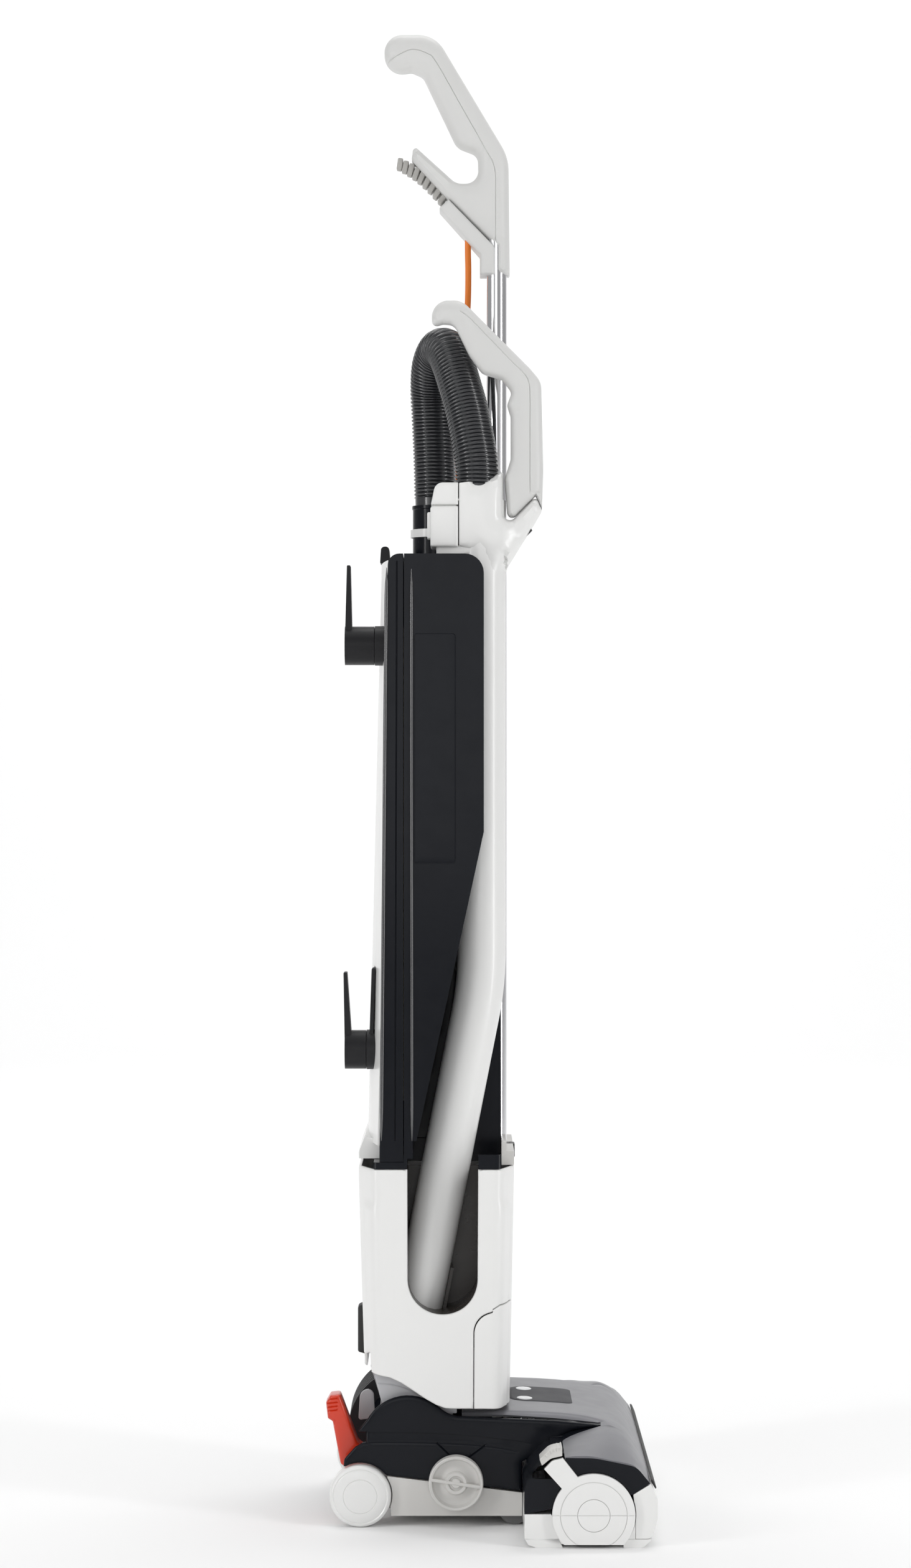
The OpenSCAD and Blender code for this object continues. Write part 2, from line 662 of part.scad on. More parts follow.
cheek = [[-65, bag_top, 0], [-3, bag_top, 15], [-3, 540, 0], [-58.2, 287, 0], [-58.2, 278, 0], [-65, 278, 0]];
front_box = [[-24, 745, 0], [11, 745, 4], [11, 290, 0], [-24, 290, 0]];

module bag_housing() color(black) difference() {
    union() {
        slab(-body_half_w, body_half_w, cheek);
        slab(-37, 97, front_box);
        // Flange on the motor housing
        intersection() {
            union() {
                post(278, 289, housing_plan(0.1));
                post(289, 296, housing_plan(7));
            }
            block([-88.6, -120, 270], [10.6, 120, 300]);
        }
        block([-62.8, -body_half_w, 278], [-58, -37, 296]);
    }
    // The lid's rear opening and the bag space
    slab(-body_half_w + wall, body_half_w - wall, [[-92, bag_top - wall, 0], [-29, bag_top - wall, 0],
        [-29, 430, 0], [-61, 300, 0], [-92, 300, 0]]);
    slab(-34.4, 94.4, [[-30, 742, 0], [-5, 742, 0], [-5, 300, 0], [-62, 300, 0], [-30, 430, 0]]);
    slab(20, 94.4, [[-6, 742, 0], [8.4, 742, 0], [8.4, 300, 0], [-6, 300, 0]]);
    // Channel for the wand, behind the right cheek
    slab(-97, -37, [[-26, 760, 0], [20, 760, 0], [20, 270, 0], [-58, 270, 0], [-58, 290, 0], [-26, 424, 0]]);
    // Slot for the wand through the flange
    block([-62.6, -120, 270], [-7.2, -37, 286]);
    block([-58.2, -120, 285], [-7.2, -37, 300]);
    // Groove for the handle tube
    translate([0, 0, 270]) linear_extrude(500) tube_section(joint_gap);
    block([8, -8.2 - joint_gap - 5, 270], [30, 8.2 + joint_gap + 5, 760]);
    // Lid stands behind this line
    block([-89, -body_half_w - 1, 283.2], [-65.4, body_half_w + 1, 300]);
    // Air way down to the motor, hose inlet and cord gland
    translate([motor_axis[0], motor_axis[1], 270]) cylinder(r = 16, h = 40);
    translate([cuff[0], cuff[1], 740]) cylinder(r = 17.2, h = 30);
    translate([-26, 44, 740]) cylinder(r = 5 + joint_gap, h = 30);
}

module front_fairing() color(white) difference() {
    intersection() {
        union() {
            post(278, 289, housing_plan(0));
            post(289, 296.6, housing_plan(6));
        }
        block([11.2, -69, 270], [30, 69, 300]);
    }
    translate([0, 0, 270]) linear_extrude(60) tube_section(joint_gap);
    block([15, -8.3, 276], [30, 8.3, 289.2]);
}

module tube_button() color(black)
    block([18.6, -8, 278.2], [22.4, 8, 288.8]);

// ---------------------------------------------------------------- lid

// Rear face of the lid frame and the ridge of the crowned panel, as X at a height
function frame_x(z) = -84 + (z - 283.5) * 6.5 / 472.5;
function ridge_x(z) = -95.4 + (z - 283.5) * 11.2 / 472.5;
// Surface of the panel at a height and a distance from the middle
panel_half = 96;
function panel_x(y, z) = ridge_x(z) + (frame_x(z) - 1.2 - ridge_x(z)) * pow(abs(y) / panel_half, 2);

lid_side = [[-65.6, bag_top, 0], [-77.5, bag_top, 9], [frame_x(286), 286, 2], [frame_x(283.5) + 0.4, 283.5, 0],
            [-65.6, 283.5, 0]];

module bag_lid() color(black) difference() {
    slab(-body_half_w, body_half_w, lid_side);
    slab(-body_half_w + wall, body_half_w - wall, [[-60, bag_top - wall, 0], [-74.4, bag_top - wall, 6],
        [-80.6, 286 + wall, 0], [-60, 286 + wall, 0]]);
    // Soft groove along the side
    both_sides() slab(-body_half_w - 1, -body_half_w + 0.8,
                      [[-70, 750, 0], [-71, 750, 0], [-72.5, 300, 0], [-71.5, 300, 0]]);
}

// Crowned rear panel, its ridge leaning a little more than the frame behind it
module lid_panel() color(white) difference() {
    union() {
        intersection() {
            translate([ridge_x(283.5), 0, 283.5]) rotate([0, atan(11.2 / 472.5), 0]) linear_extrude(480)
                polygon([for (i = [-12:12]) [9.6 * pow(i / 12, 2), i * panel_half / 12],
                         [30, panel_half], [30, -panel_half]]);
            slab(-panel_half, panel_half, [[-120, 752, 0], [frame_x(752) - joint_gap, 752, 0],
                [frame_x(296) - joint_gap, 296, 0], [-120, 296, 0]]);
        }
        // Foot over the motor housing's edge
        intersection() {
            post(283.5, 303, housing_plan(0));
            slab(-72, 72, [[-102, 283.5, 0], [-84.6, 283.5, 0], [-84.6, 298, 0], [-96, 301, 0],
                           [-101.4, 287, 4]]);
        }
    }
    for (z = [upper_hook_z, lower_hook_z])
        rod_x([hook_y, z], panel_x(hook_y, z) - 8, panel_x(hook_y, z) + 3.5, 15.6 + joint_gap);
    block([-110, hook_y - 9.2, lower_hook_z], [panel_x(hook_y, 400) + 1.6, hook_y + 9.2, lower_hook_z + 65.4]);
}

module lid_latch() color(black)
    slab(-13, 13, [[-85.4, 753.4, 1], [-84.6, 766.8, 3], [-78.2, 767.2, 3], [-77.4, 757, 0], [-60, 757, 0],
                   [-60, 756.3, 0], [-79, 756.3, 0], [-79.6, 753.4, 0]]);

// The parts of the cord hooks that are fixed to the lid
module cord_hook_bases() color(black) {
    for (z = [upper_hook_z, lower_hook_z]) difference() {
        rod_x([hook_y, z], panel_x(hook_y, z) - 5, panel_x(hook_y, z) + 3, 15.6);
        rod_x([hook_y, z], panel_x(hook_y, z) - 8, panel_x(hook_y, z) + 1.4, 5 + run);
    }
    // Tongue above the lower base
    slab(hook_y - 9, hook_y + 9, [
        [panel_x(hook_y, lower_hook_z) - 2.6, lower_hook_z + 12, 0], [panel_x(hook_y, 432) - 2.2, 432, 1.4],
        [panel_x(hook_y, 432) + 0.8, 433, 1.4], [panel_x(hook_y, lower_hook_z) + 0.6, lower_hook_z + 12, 0]]);
}

// A boss with a blade that stands up from its rear end
module cord_hook(z, tall, splay) {
    seat = panel_x(hook_y, z) - 5 - gap;
    rod_x([hook_y, z], -112, seat, 15.2);
    rod_x([hook_y, z], seat - eps, seat + 5.4, 5);
    translate([-112, hook_y, z]) rotate([0, -splay, 0])
        slab(-9, 9, [[0, -6, 0], [0.6, tall - 2, 0.8], [3.4, tall - 2, 0.8], [5.4, 14, 0], [5.4, -6, 0]]);
}
module upper_cord_hook() color(black) cord_hook(upper_hook_z, 65, -1);
module lower_cord_hook() color(black) cord_hook(lower_hook_z, 63, 1.5);

module dust_bag() color([0.90, 0.87, 0.80]) difference() {
    slab(-88, 88, [[-73.4, 700, 14], [-36, 700, 14], [-36, 440, 20], [-62, 330, 6], [-77.6, 330, 6]]);
    translate([cuff[0], cuff[1], 690]) cylinder(r = 15, h = 20);
}

// ---------------------------------------------------------------- hose and wand

module hose_cuff() color(black) translate([cuff[0], cuff[1], 0]) difference() {
    union() {
        translate([0, 0, 722]) cylinder(r = 17, h = 40);
        translate([0, 0, bag_top + 0.2]) cylinder(r = cuff_r - 0.6, h = cuff_top - bag_top - 0.2);
        translate([0, 0, cuff_top - 3]) cylinder(r = cuff_r, h = 3);
    }
    translate([0, 0, 700]) cylinder(r = 14.6, h = 110);
}

module hose_bracket() color(white) {
    slab(-82, -40, [[-44.6, 763, 2], [-44.6, 794.6, 2], [-25.4, 794.6, 0], [-25.4, 763, 0]]);
    slab(-82, -40, [[-44, 795.2, 0], [-41, 812.4, 7], [-25.4, 812.4, 0], [-25.4, 795.2, 0]]);
    block([-40, -80, 762.9], [-28, -42, 763.1]);
    block([-40, -80, bag_top + 0.1], [-28, -42, 763]);
    // Strap round the cuff
    translate([cuff[0], cuff[1], 775]) difference() {
        union() {
            cylinder(r = cuff_r + 1.4, h = 6);
            translate([-3, -54, 0]) cube([6, 36, 6]);
        }
        translate([0, 0, -1]) cylinder(r = cuff_r - 0.6 + joint_gap, h = 8);
    }
}

// A tube swept along points, closed at both ends
module sweep(line, r, sides) {
    last = len(line) - 1;
    function along(i) = unit(line[min(i + 1, last)] - line[max(i - 1, 0)]);
    rings = [for (i = [0:last])
        let (d = along(i), u = unit(cross(d, [0.3, 1, 0.1])), v = cross(d, u))
        for (k = [0:sides - 1]) line[i] + r * (u * cos(360 * k / sides) + v * sin(360 * k / sides))];
    polyhedron(points = rings, faces = concat(
        [[for (k = [0:sides - 1]) k]],
        [for (i = [0:last - 1], k = [0:sides - 1])
            [i * sides + k, (i + 1) * sides + k, (i + 1) * sides + (k + 1) % sides, i * sides + (k + 1) % sides]],
        [[for (k = [sides - 1:-1:0]) last * sides + k]]), convexity = 6);
}

module hose() color(rubber) sweep(hose_route, hose_r, 12);
module link_cord() color([0.93, 0.42, 0.09]) sweep(cord_route, cord_r, 8);

grip_line = [[-43.5, 936, 3], [-43.5, 956, 12], [-18, 956, 14], [33, 905, 12], [43.8, 890, 14], [43.8, 793, 0],
             [38, 804, 0], [16.4, 782, 4], [13.2, 818, 0], [18.6, 830, 8], [18.6, 868, 4], [15.8, 875, 3],
             [19.6, 885, 6], [10, 896, 10], [-8, 898, 30], [-26, 938, 12], [-36, 939.5, 4]];
arm_line = [[14, 742, 0], [14.6, 757, 14], [37, 781.5, 0], [42.6, 791.6, 0], [38, 803.6, 0], [16.2, 781, 4],
            [13, 812, 0], [0, 812, 0], [0, 742, 0]];

module wand() color(white) difference() {
    union() {
        wand_path(wand_r, wand_foot);
        slab(wand_y - 15, wand_y + 15, arm_line);
    }
    wand_path(wand_r - 2.2, wand_foot + 1);
    translate([-7.5, wand_y, 799]) cylinder(r = hose_r + 0.7, h = 30);
    // Seat of the air slider
    translate([31.2, wand_y, 775.5]) rotate([0, -45, 0]) block([-7, -6.3, -3], [7, 6.3, 5]);
}

module air_slider() color(black) translate([31.2, wand_y, 775.5]) rotate([0, -45, 0])
    difference() {
        block([-3.6, -6, -2.4], [3.6, 6, 4.8]);
        for (i = [-2:2]) block([1.4 * i - 0.3, -7, -3], [1.4 * i + 0.3, 7, -1.6]);
    }

module wand_grip() color(shell_grey) difference() {
    slab(wand_y - grip_half_w, wand_y + grip_half_w, grip_line);
    translate([wand_x, wand_y, 700]) cylinder(r = wand_r + joint_gap, h = wand_top - 700 + joint_gap);
    // Parting line
    slab(wand_y - 15, wand_y - grip_half_w + 1, [[-20.6, 947.4, 0], [18.8, 908.4, 0], [31.6, 896.4, 8], [33.4, 880, 0],
        [33.4, 806, 0], [34, 806, 0], [34, 880, 0], [32, 897, 8], [19.2, 908.8, 0], [-20.4, 948, 0]]);
}

// ---------------------------------------------------------------- handle

module tube_section(grow = 0) {
    for (y = [-5, 5]) translate([8, y]) circle(r = 8 + grow);
    translate([8, 0]) square([16 + 2 * grow, 10], center = true);
}
module handle_tube() color(steel) difference() {
    translate([0, 0, 272]) linear_extrude(tube_top - 272) tube_section();
    translate([0, 0, 271]) linear_extrude(tube_top) tube_section(-1.4);
}

handle_line = [[-82, 1146.2, 14], [-82, 1177.6, 14], [-41.2, 1177.6, 24], [17.6, 1079.4, 40],
               [18.5, 984.4, 0], [6.8, 984.4, 0], [6.8, 1007.2, 0], [-30.8, 1044.3, 0], [-60.4, 1077, 4],
               [-58.6, 1088.4, 1.5], [-24.4, 1058.4, 8], [-6.6, 1058.4, 10.5], [-7, 1080, 8],
               [-22.5, 1090, 10], [-51, 1147, 9], [-60, 1146.6, 4]];
parting = [[-90, 1149, 0], [-54, 1169, 18], [2, 1072, 20], [6.8, 1060, 14], [6.8, 980, 0], [40, 980, 0],
           [40, 1190, 0], [-90, 1190, 0]];

module handle_shells() color(shell_grey) {
    // Rear shell and front shell, split along the parting line
    difference() {
        intersection() {
            slab(-handle_half_w, handle_half_w, handle_line);
            slab(-30, 30, parting);
        }
        handle_hollow();
    }
    difference() {
        slab(-handle_half_w, handle_half_w, handle_line);
        slab(-30, 30, [for (p = parting) [p[0] - (p[0] < 10 ? 0.5 : 0), p[1] - (p[1] > 1000 ? 0.3 : 0), p[2]]]);
        handle_hollow();
    }
    // Cable clamp under the front shell
    difference() {
        slab(-handle_half_w + 1, handle_half_w - 1, [[-31.4, 1043.6, 0], [-38.1, 1035.2, 1], [-5.6, 998.1, 0],
            [-5.6, 984.4, 0], [6.3, 984.4, 0], [6.3, 1006.4, 0]]);
        translate([0, 0, 900]) linear_extrude(160) tube_section(joint_gap);
        translate([-15, 0, 990]) cylinder(r = cord_r + joint_gap, h = 26.2);
    }
    strain_relief();
}
module handle_hollow() {
    slab_in(-handle_half_w + wall, handle_half_w - wall, handle_line, wall);
    translate([0, 0, 900]) linear_extrude(tube_top - 900 + 0.5) tube_section(joint_gap);
}

// Ribbed sleeve that guards the mains lead, its axis bending slightly upwards
module strain_relief() {
    for (i = [0:8]) let (t = i / 8)
        translate([-36.5 - 33.5 * t, 0, 1045 + 27.5 * t + 2.6 * sin(180 * t)])
            rotate([0, 39 - 6 * sin(360 * t), 0])
                block([-1.9, -7 + 2 * t, -5.4 + 1.8 * t], [1.9, 7 - 2 * t, 5.4 - 1.8 * t]);
    sweep([for (i = [0:8]) let (t = i / 8) [-34.5 - 35.5 * t, 0, 1043.2 + 29.3 * t + 2.6 * sin(180 * t)]], 2.6, 12);
}

// ---------------------------------------------------------------- nodes

head_chassis();
side_cover_right();
side_cover_left();
top_cover();
indicator_panel();
indicator_lamps();
brush_housing();
lower_housing();
sole_plate();
front_bumper();
bumper_strip();
end_plate_right();
end_plate_left();
release_button();
brush_roller();
brush_bristles();
brush_bearing();
drive_pulley();
drive_belt();
brush_motor();
motor_pinion();
rear_wheel_right();
rear_wheel_left();
rear_axle_pins();
front_wheel_carrier();
front_wheels();
height_knob();
foot_pedal();
pedal_pin();
neck_catch();
neck_pins();
neck_yoke();
neck_drum();
motor_housing();
exhaust_cover();
exhaust_filter();
suction_motor();
motor_rotor();
motor_seat();
power_switch();
wand_channel();
bag_housing();
front_fairing();
tube_button();
bag_lid();
lid_panel();
lid_latch();
cord_hook_bases();
upper_cord_hook();
lower_cord_hook();
dust_bag();
hose_cuff();
hose_bracket();
hose();
wand();
wand_grip();
air_slider();
handle_tube();
handle_shells();
link_cord();
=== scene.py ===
"""Looks of the upright vacuum cleaner. Metres; +X is forwards, +Y the machine's left, +Z up."""
import json
import math

import bmesh
import bpy
import numpy as np
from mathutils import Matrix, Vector, geometry


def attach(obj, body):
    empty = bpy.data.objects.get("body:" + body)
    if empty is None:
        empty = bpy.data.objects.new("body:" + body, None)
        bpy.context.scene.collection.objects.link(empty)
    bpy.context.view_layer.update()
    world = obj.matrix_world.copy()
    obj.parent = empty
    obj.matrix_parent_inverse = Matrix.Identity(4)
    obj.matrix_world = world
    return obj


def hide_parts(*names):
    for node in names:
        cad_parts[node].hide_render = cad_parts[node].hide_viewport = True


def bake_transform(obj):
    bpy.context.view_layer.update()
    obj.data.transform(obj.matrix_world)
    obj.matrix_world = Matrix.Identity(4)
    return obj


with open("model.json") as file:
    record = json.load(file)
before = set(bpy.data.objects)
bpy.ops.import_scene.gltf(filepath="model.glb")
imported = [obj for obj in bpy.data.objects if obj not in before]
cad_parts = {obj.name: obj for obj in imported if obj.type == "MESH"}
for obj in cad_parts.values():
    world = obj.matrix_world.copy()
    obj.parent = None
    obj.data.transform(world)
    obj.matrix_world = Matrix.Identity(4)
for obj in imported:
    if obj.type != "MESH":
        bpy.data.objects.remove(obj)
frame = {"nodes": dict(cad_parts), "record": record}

MM = 0.001
SAME_POINT = 0.002 * MM
SHARP_ANGLE = math.radians(42)
nodes = frame["nodes"]
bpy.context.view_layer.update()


# ---------------------------------------------------------------- camera and studio

def link(obj):
    bpy.context.scene.collection.objects.link(obj)
    return obj


def make_camera():
    data = bpy.data.cameras.new("camera")
    data.lens = 84
    data.sensor_width = 36
    camera = link(bpy.data.objects.new("camera", data))
    camera.location = (-0.025, -2.94, 0.577)
    camera.rotation_euler = (math.radians(90), 0, 0)
    bpy.context.scene.camera = camera


def area_light(name, place, aim, width, height, watts):
    data = bpy.data.lights.new(name, "AREA")
    data.shape = "RECTANGLE"
    data.size = width
    data.size_y = height
    data.energy = watts
    light = link(bpy.data.objects.new(name, data))
    light.location = place
    light.rotation_euler = (Vector(aim) - Vector(place)).to_track_quat("-Z", "Y").to_euler()


def make_studio():
    """Floor that curves up into a backdrop, soft lights round the machine and a pale sky."""
    floor_half, front, back, bend, top, bend_steps = 10.0, -7.0, 6.4, 1.8, 8.0, 16
    profile = [(front, 0.0), (back - bend, 0.0)]
    profile += [(back - bend + bend * math.sin(a), bend - bend * math.cos(a))
                for a in [math.radians(90 * i / bend_steps) for i in range(1, bend_steps + 1)]]
    profile.append((back, top))
    verts = [(x, y, z) for y, z in profile for x in (-floor_half, floor_half)]
    faces = [(2 * i, 2 * i + 1, 2 * i + 3, 2 * i + 2) for i in range(len(profile) - 1)]
    mesh = bpy.data.meshes.new("floor")
    mesh.from_pydata(verts, [], faces)
    mesh.shade_smooth()
    floor = link(bpy.data.objects.new("floor", mesh))
    material = bpy.data.materials.new("studio_floor")
    material.use_nodes = True
    shader = material.node_tree.nodes["Principled BSDF"]
    shader.inputs["Base Color"].default_value = (0.93, 0.93, 0.93, 1)
    shader.inputs["Roughness"].default_value = 0.7
    mesh.materials.append(material)

    centre = (0, 0, 0.55)
    area_light("key", (-2.3, -2.2, 1.9), centre, 1.6, 2.6, 13)
    area_light("fill", (2.6, -1.8, 1.3), centre, 1.4, 2.6, 9)
    area_light("overhead", (0.2, -0.2, 3.2), centre, 2.4, 2.0, 16)
    area_light("strip_left", (-1.9, -1.3, 0.8), centre, 0.2, 2.4, 14)
    area_light("strip_right", (1.8, -1.1, 0.8), centre, 0.2, 2.4, 14)
    area_light("front", (-0.5, -4.4, 1.3), centre, 2.0, 2.0, 14)
    area_light("backdrop", (0, 1.6, 5.6), (0, 6.4, 1.4), 6.0, 1.8, 260)

    world = bpy.data.worlds.new("sky")
    world.use_nodes = True
    world.node_tree.nodes["Background"].inputs["Color"].default_value = (1, 1, 1, 1)
    world.node_tree.nodes["Background"].inputs["Strength"].default_value = 0.37
    scene = bpy.context.scene
    scene.world = world
    scene.view_settings.view_transform = "Standard"


make_camera()
make_studio()


# ---------------------------------------------------------------- mesh helpers

def new_piece(name, body, slot, verts, faces):
    """Object from verts and faces, smooth but for its sharp edges, riding on its body."""
    mesh = bpy.data.meshes.new(name)
    mesh.from_pydata([tuple(v) for v in verts], [], faces)
    shape = bmesh.new()
    shape.from_mesh(mesh)
    bmesh.ops.remove_doubles(shape, verts=shape.verts, dist=SAME_POINT)
    bmesh.ops.recalc_face_normals(shape, faces=shape.faces)
    shape.to_mesh(mesh)
    shape.free()
    mesh.shade_smooth()
    mesh.set_sharp_from_angle(angle=SHARP_ANGLE)
    piece = link(bpy.data.objects.new(name, mesh))
    if body:
        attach(piece, body)
    finish_piece(piece, slot)
    return piece


def finish_piece(piece, slot):
    """Material of the slot."""
    piece.data.materials.append(materials[slot])


def smooth_path(points, step):
    """Points at about that spacing on a smooth curve through the given ones."""
    points = [Vector(p) for p in points]
    padded = [2 * points[0] - points[1], *points, 2 * points[-1] - points[-2]]
    fine, steps = [], 24
    for a, b, c, d in zip(padded, padded[1:], padded[2:], padded[3:]):
        for i in range(steps):
            t = i / steps
            fine.append(0.5 * (2 * b + (c - a) * t + (2 * a - 5 * b + 4 * c - d) * t ** 2
                               + (3 * b - a - 3 * c + d) * t ** 3))
    fine.append(points[-1])
    lengths = [0.0]
    for a, b in zip(fine, fine[1:]):
        lengths.append(lengths[-1] + (b - a).length)
    count = max(2, round(lengths[-1] / step))
    path, k = [], 0
    for i in range(count + 1):
        at = lengths[-1] * i / count
        while k < len(lengths) - 2 and lengths[k + 1] < at:
            k += 1
        span = lengths[k + 1] - lengths[k]
        path.append(fine[k].lerp(fine[k + 1], (at - lengths[k]) / span if span else 0))
    return path, lengths[-1]


def frames_along(path):
    """Two directions across the path at each point, carried along it without twist."""
    out = []
    side = None
    for i in range(len(path)):
        along = (path[min(i + 1, len(path) - 1)] - path[max(i - 1, 0)]).normalized()
        if side is None:
            side = along.orthogonal().normalized()
        side = (side - along * side.dot(along)).normalized()
        out.append((side, along.cross(side)))
    return out


def ring_faces(rings, sides):
    """Faces between closed rings of points that follow each other."""
    return [(i * sides + k, i * sides + (k + 1) % sides, (i + 1) * sides + (k + 1) % sides,
             (i + 1) * sides + k) for i in range(rings - 1) for k in range(sides)]


def tube(path, radius_at, sides):
    """Rings along a path; radius_at(i, angle) gives the radius. Closed at both ends."""
    verts = []
    for i, (point, (u, v)) in enumerate(zip(path, frames_along(path))):
        for k in range(sides):
            a = 2 * math.pi * k / sides
            verts.append(point + (u * math.cos(a) + v * math.sin(a)) * radius_at(i, a))
    faces = ring_faces(len(path), sides)
    faces.append(tuple(range(sides - 1, -1, -1)))
    faces.append(tuple((len(path) - 1) * sides + k for k in range(sides)))
    return verts, faces


def unit(v):
    return v / np.linalg.norm(v)


def outline(corners, step):
    """Points of a closed outline from corners (x, z, radius), at most a step apart, in mm."""
    points = []
    count = len(corners)
    for i, (x, z, radius) in enumerate(corners):
        at = np.array([x, z], float)
        before = unit(np.array(corners[i - 1][:2], float) - at)
        after = unit(np.array(corners[(i + 1) % count][:2], float) - at)
        if radius == 0 or np.linalg.norm(before + after) < 0.001:
            points.append(at)
            continue
        half = math.acos(max(-1, min(1, float(before @ after)))) / 2
        centre = at + unit(before + after) * radius / math.sin(half)
        first = at + before * radius / math.tan(half) - centre
        last = at + after * radius / math.tan(half) - centre
        start = math.atan2(first[1], first[0])
        turn = (math.atan2(last[1], last[0]) - start + 3 * math.pi) % (2 * math.pi) - math.pi
        steps = max(2, math.ceil(abs(turn) * radius / step), math.ceil(abs(turn) / math.radians(12)))
        for k in range(steps + 1):
            a = start + turn * k / steps
            points.append(centre + radius * np.array([math.cos(a), math.sin(a)]))
    return spaced(points, step, closed=True)


def spaced(points, step, closed=False):
    """The line through the points, with long stretches divided into steps."""
    points = [np.array(p[:2], float) for p in points]
    out = []
    for a, b in zip(points, points[1:] + points[:1] if closed else points[1:]):
        length = np.linalg.norm(b - a)
        if length < 0.05:
            continue
        steps = max(1, math.ceil(length / step))
        out += [a + (b - a) * k / steps for k in range(steps)]
    if not closed:
        out.append(points[-1])
    return np.array(out)


def distance_to(points, line, closed):
    """Distance from each point to a line."""
    a = line if closed else line[:-1]
    b = np.roll(line, -1, 0) if closed else line[1:]
    along = b - a
    length2 = np.maximum((along ** 2).sum(1), 1e-12)
    best = np.full(len(points), 1e9)
    for start, run, size in zip(a, along, length2):
        t = np.clip((points - start) @ run / size, 0, 1)
        best = np.minimum(best, ((points - start - t[:, None] * run) ** 2).sum(1))
    return np.sqrt(best)


def inside(points, line):
    """Whether each point lies inside a closed line."""
    result = np.zeros(len(points), bool)
    x, z = points[:, 0], points[:, 1]
    for (x0, z0), (x1, z1) in zip(line, np.roll(line, -1, 0)):
        crosses = (z0 > z) != (z1 > z)
        if z1 != z0:
            result ^= crosses & (x < (x1 - x0) * (z - z0) / (z1 - z0) + x0)
    return result


def flow(points, step):
    """Points in mm on a smooth open curve through a few [x, z] points."""
    path, _ = smooth_path([(x, 0, z) for x, z in points], step)
    return np.array([(p.x, p.z) for p in path])


def inward_from(edge):
    """Unit directions from the points of a closed edge towards its inside."""
    run = np.roll(edge, -1, 0) - np.roll(edge, 1, 0)
    run /= np.linalg.norm(run, axis=1)[:, None]
    area = (edge[:, 0] * np.roll(edge[:, 1], -1) - np.roll(edge[:, 0], -1) * edge[:, 1]).sum()
    return np.stack([-run[:, 1], run[:, 0]], 1) * (1 if area > 0 else -1)


def triangulated(edge, points):
    """Points, edge first, and the triangles between them that lie inside the edge."""
    made = geometry.delaunay_2d_cdt([Vector(p) for p in points], [], [list(range(len(edge)))], 1, 0.0001)
    points = np.array([tuple(v) for v in made[0]])
    triangles = np.array([f for f in made[2] if len(f) == 3])
    return points, triangles[inside(points[triangles].mean(1), edge)]


def pillow_points(edge, step, inset, grooves):
    """Points on the face of a pillow: rings near the edge, lines along grooves and a grid between."""
    inward = inward_from(edge)
    special = []
    for line, width, _ in grooves:
        run = np.gradient(line, axis=0)
        side = np.stack([-run[:, 1], run[:, 0]], 1) / np.linalg.norm(run, axis=1)[:, None]
        special += [line + side * width * k for k in (-1.6, -0.8, 0, 0.8, 1.6)]
    special = np.concatenate(special) if special else np.zeros((0, 2))
    if len(special):
        keep = inside(special, edge)
        special = special[keep]
        special = special[distance_to(special, edge, True) > 0.35]
    rings = 5
    chosen = [special]
    for k in range(1, rings + 1):
        depth = inset * (1 - math.cos(math.pi / 2 * k / rings))
        ring = edge + inward * depth
        ring = ring[inside(ring, edge)]
        ring = ring[distance_to(ring, edge, True) > 0.97 * depth]
        chosen.append(ring)
    low, high = edge.min(0), edge.max(0)
    grid = np.stack(np.meshgrid(np.arange(low[0], high[0], step * 1.3),
                                np.arange(low[1], high[1], step * 1.3)), -1).reshape(-1, 2)
    grid = grid[inside(grid, edge)]
    grid = grid[distance_to(grid, edge, True) > inset + step * 0.6]
    chosen.append(grid)
    kept = []
    cells = {}
    reach = 0.42 * step

    def near(p, limit):
        cx, cz = int(p[0] // step), int(p[1] // step)
        return any((p[0] - q[0]) ** 2 + (p[1] - q[1]) ** 2 < limit ** 2
                   for i in (-1, 0, 1) for j in (-1, 0, 1) for q in cells.get((cx + i, cz + j), ()))

    for number, group in enumerate(chosen):
        for p in group:
            limit = 0.15 if number == 0 else min(reach, 0.12 * inset) if number <= rings else reach
            if not near(p, limit):
                kept.append(p)
                cells.setdefault((int(p[0] // step), int(p[1] // step)), []).append(p)
    return np.array(kept)


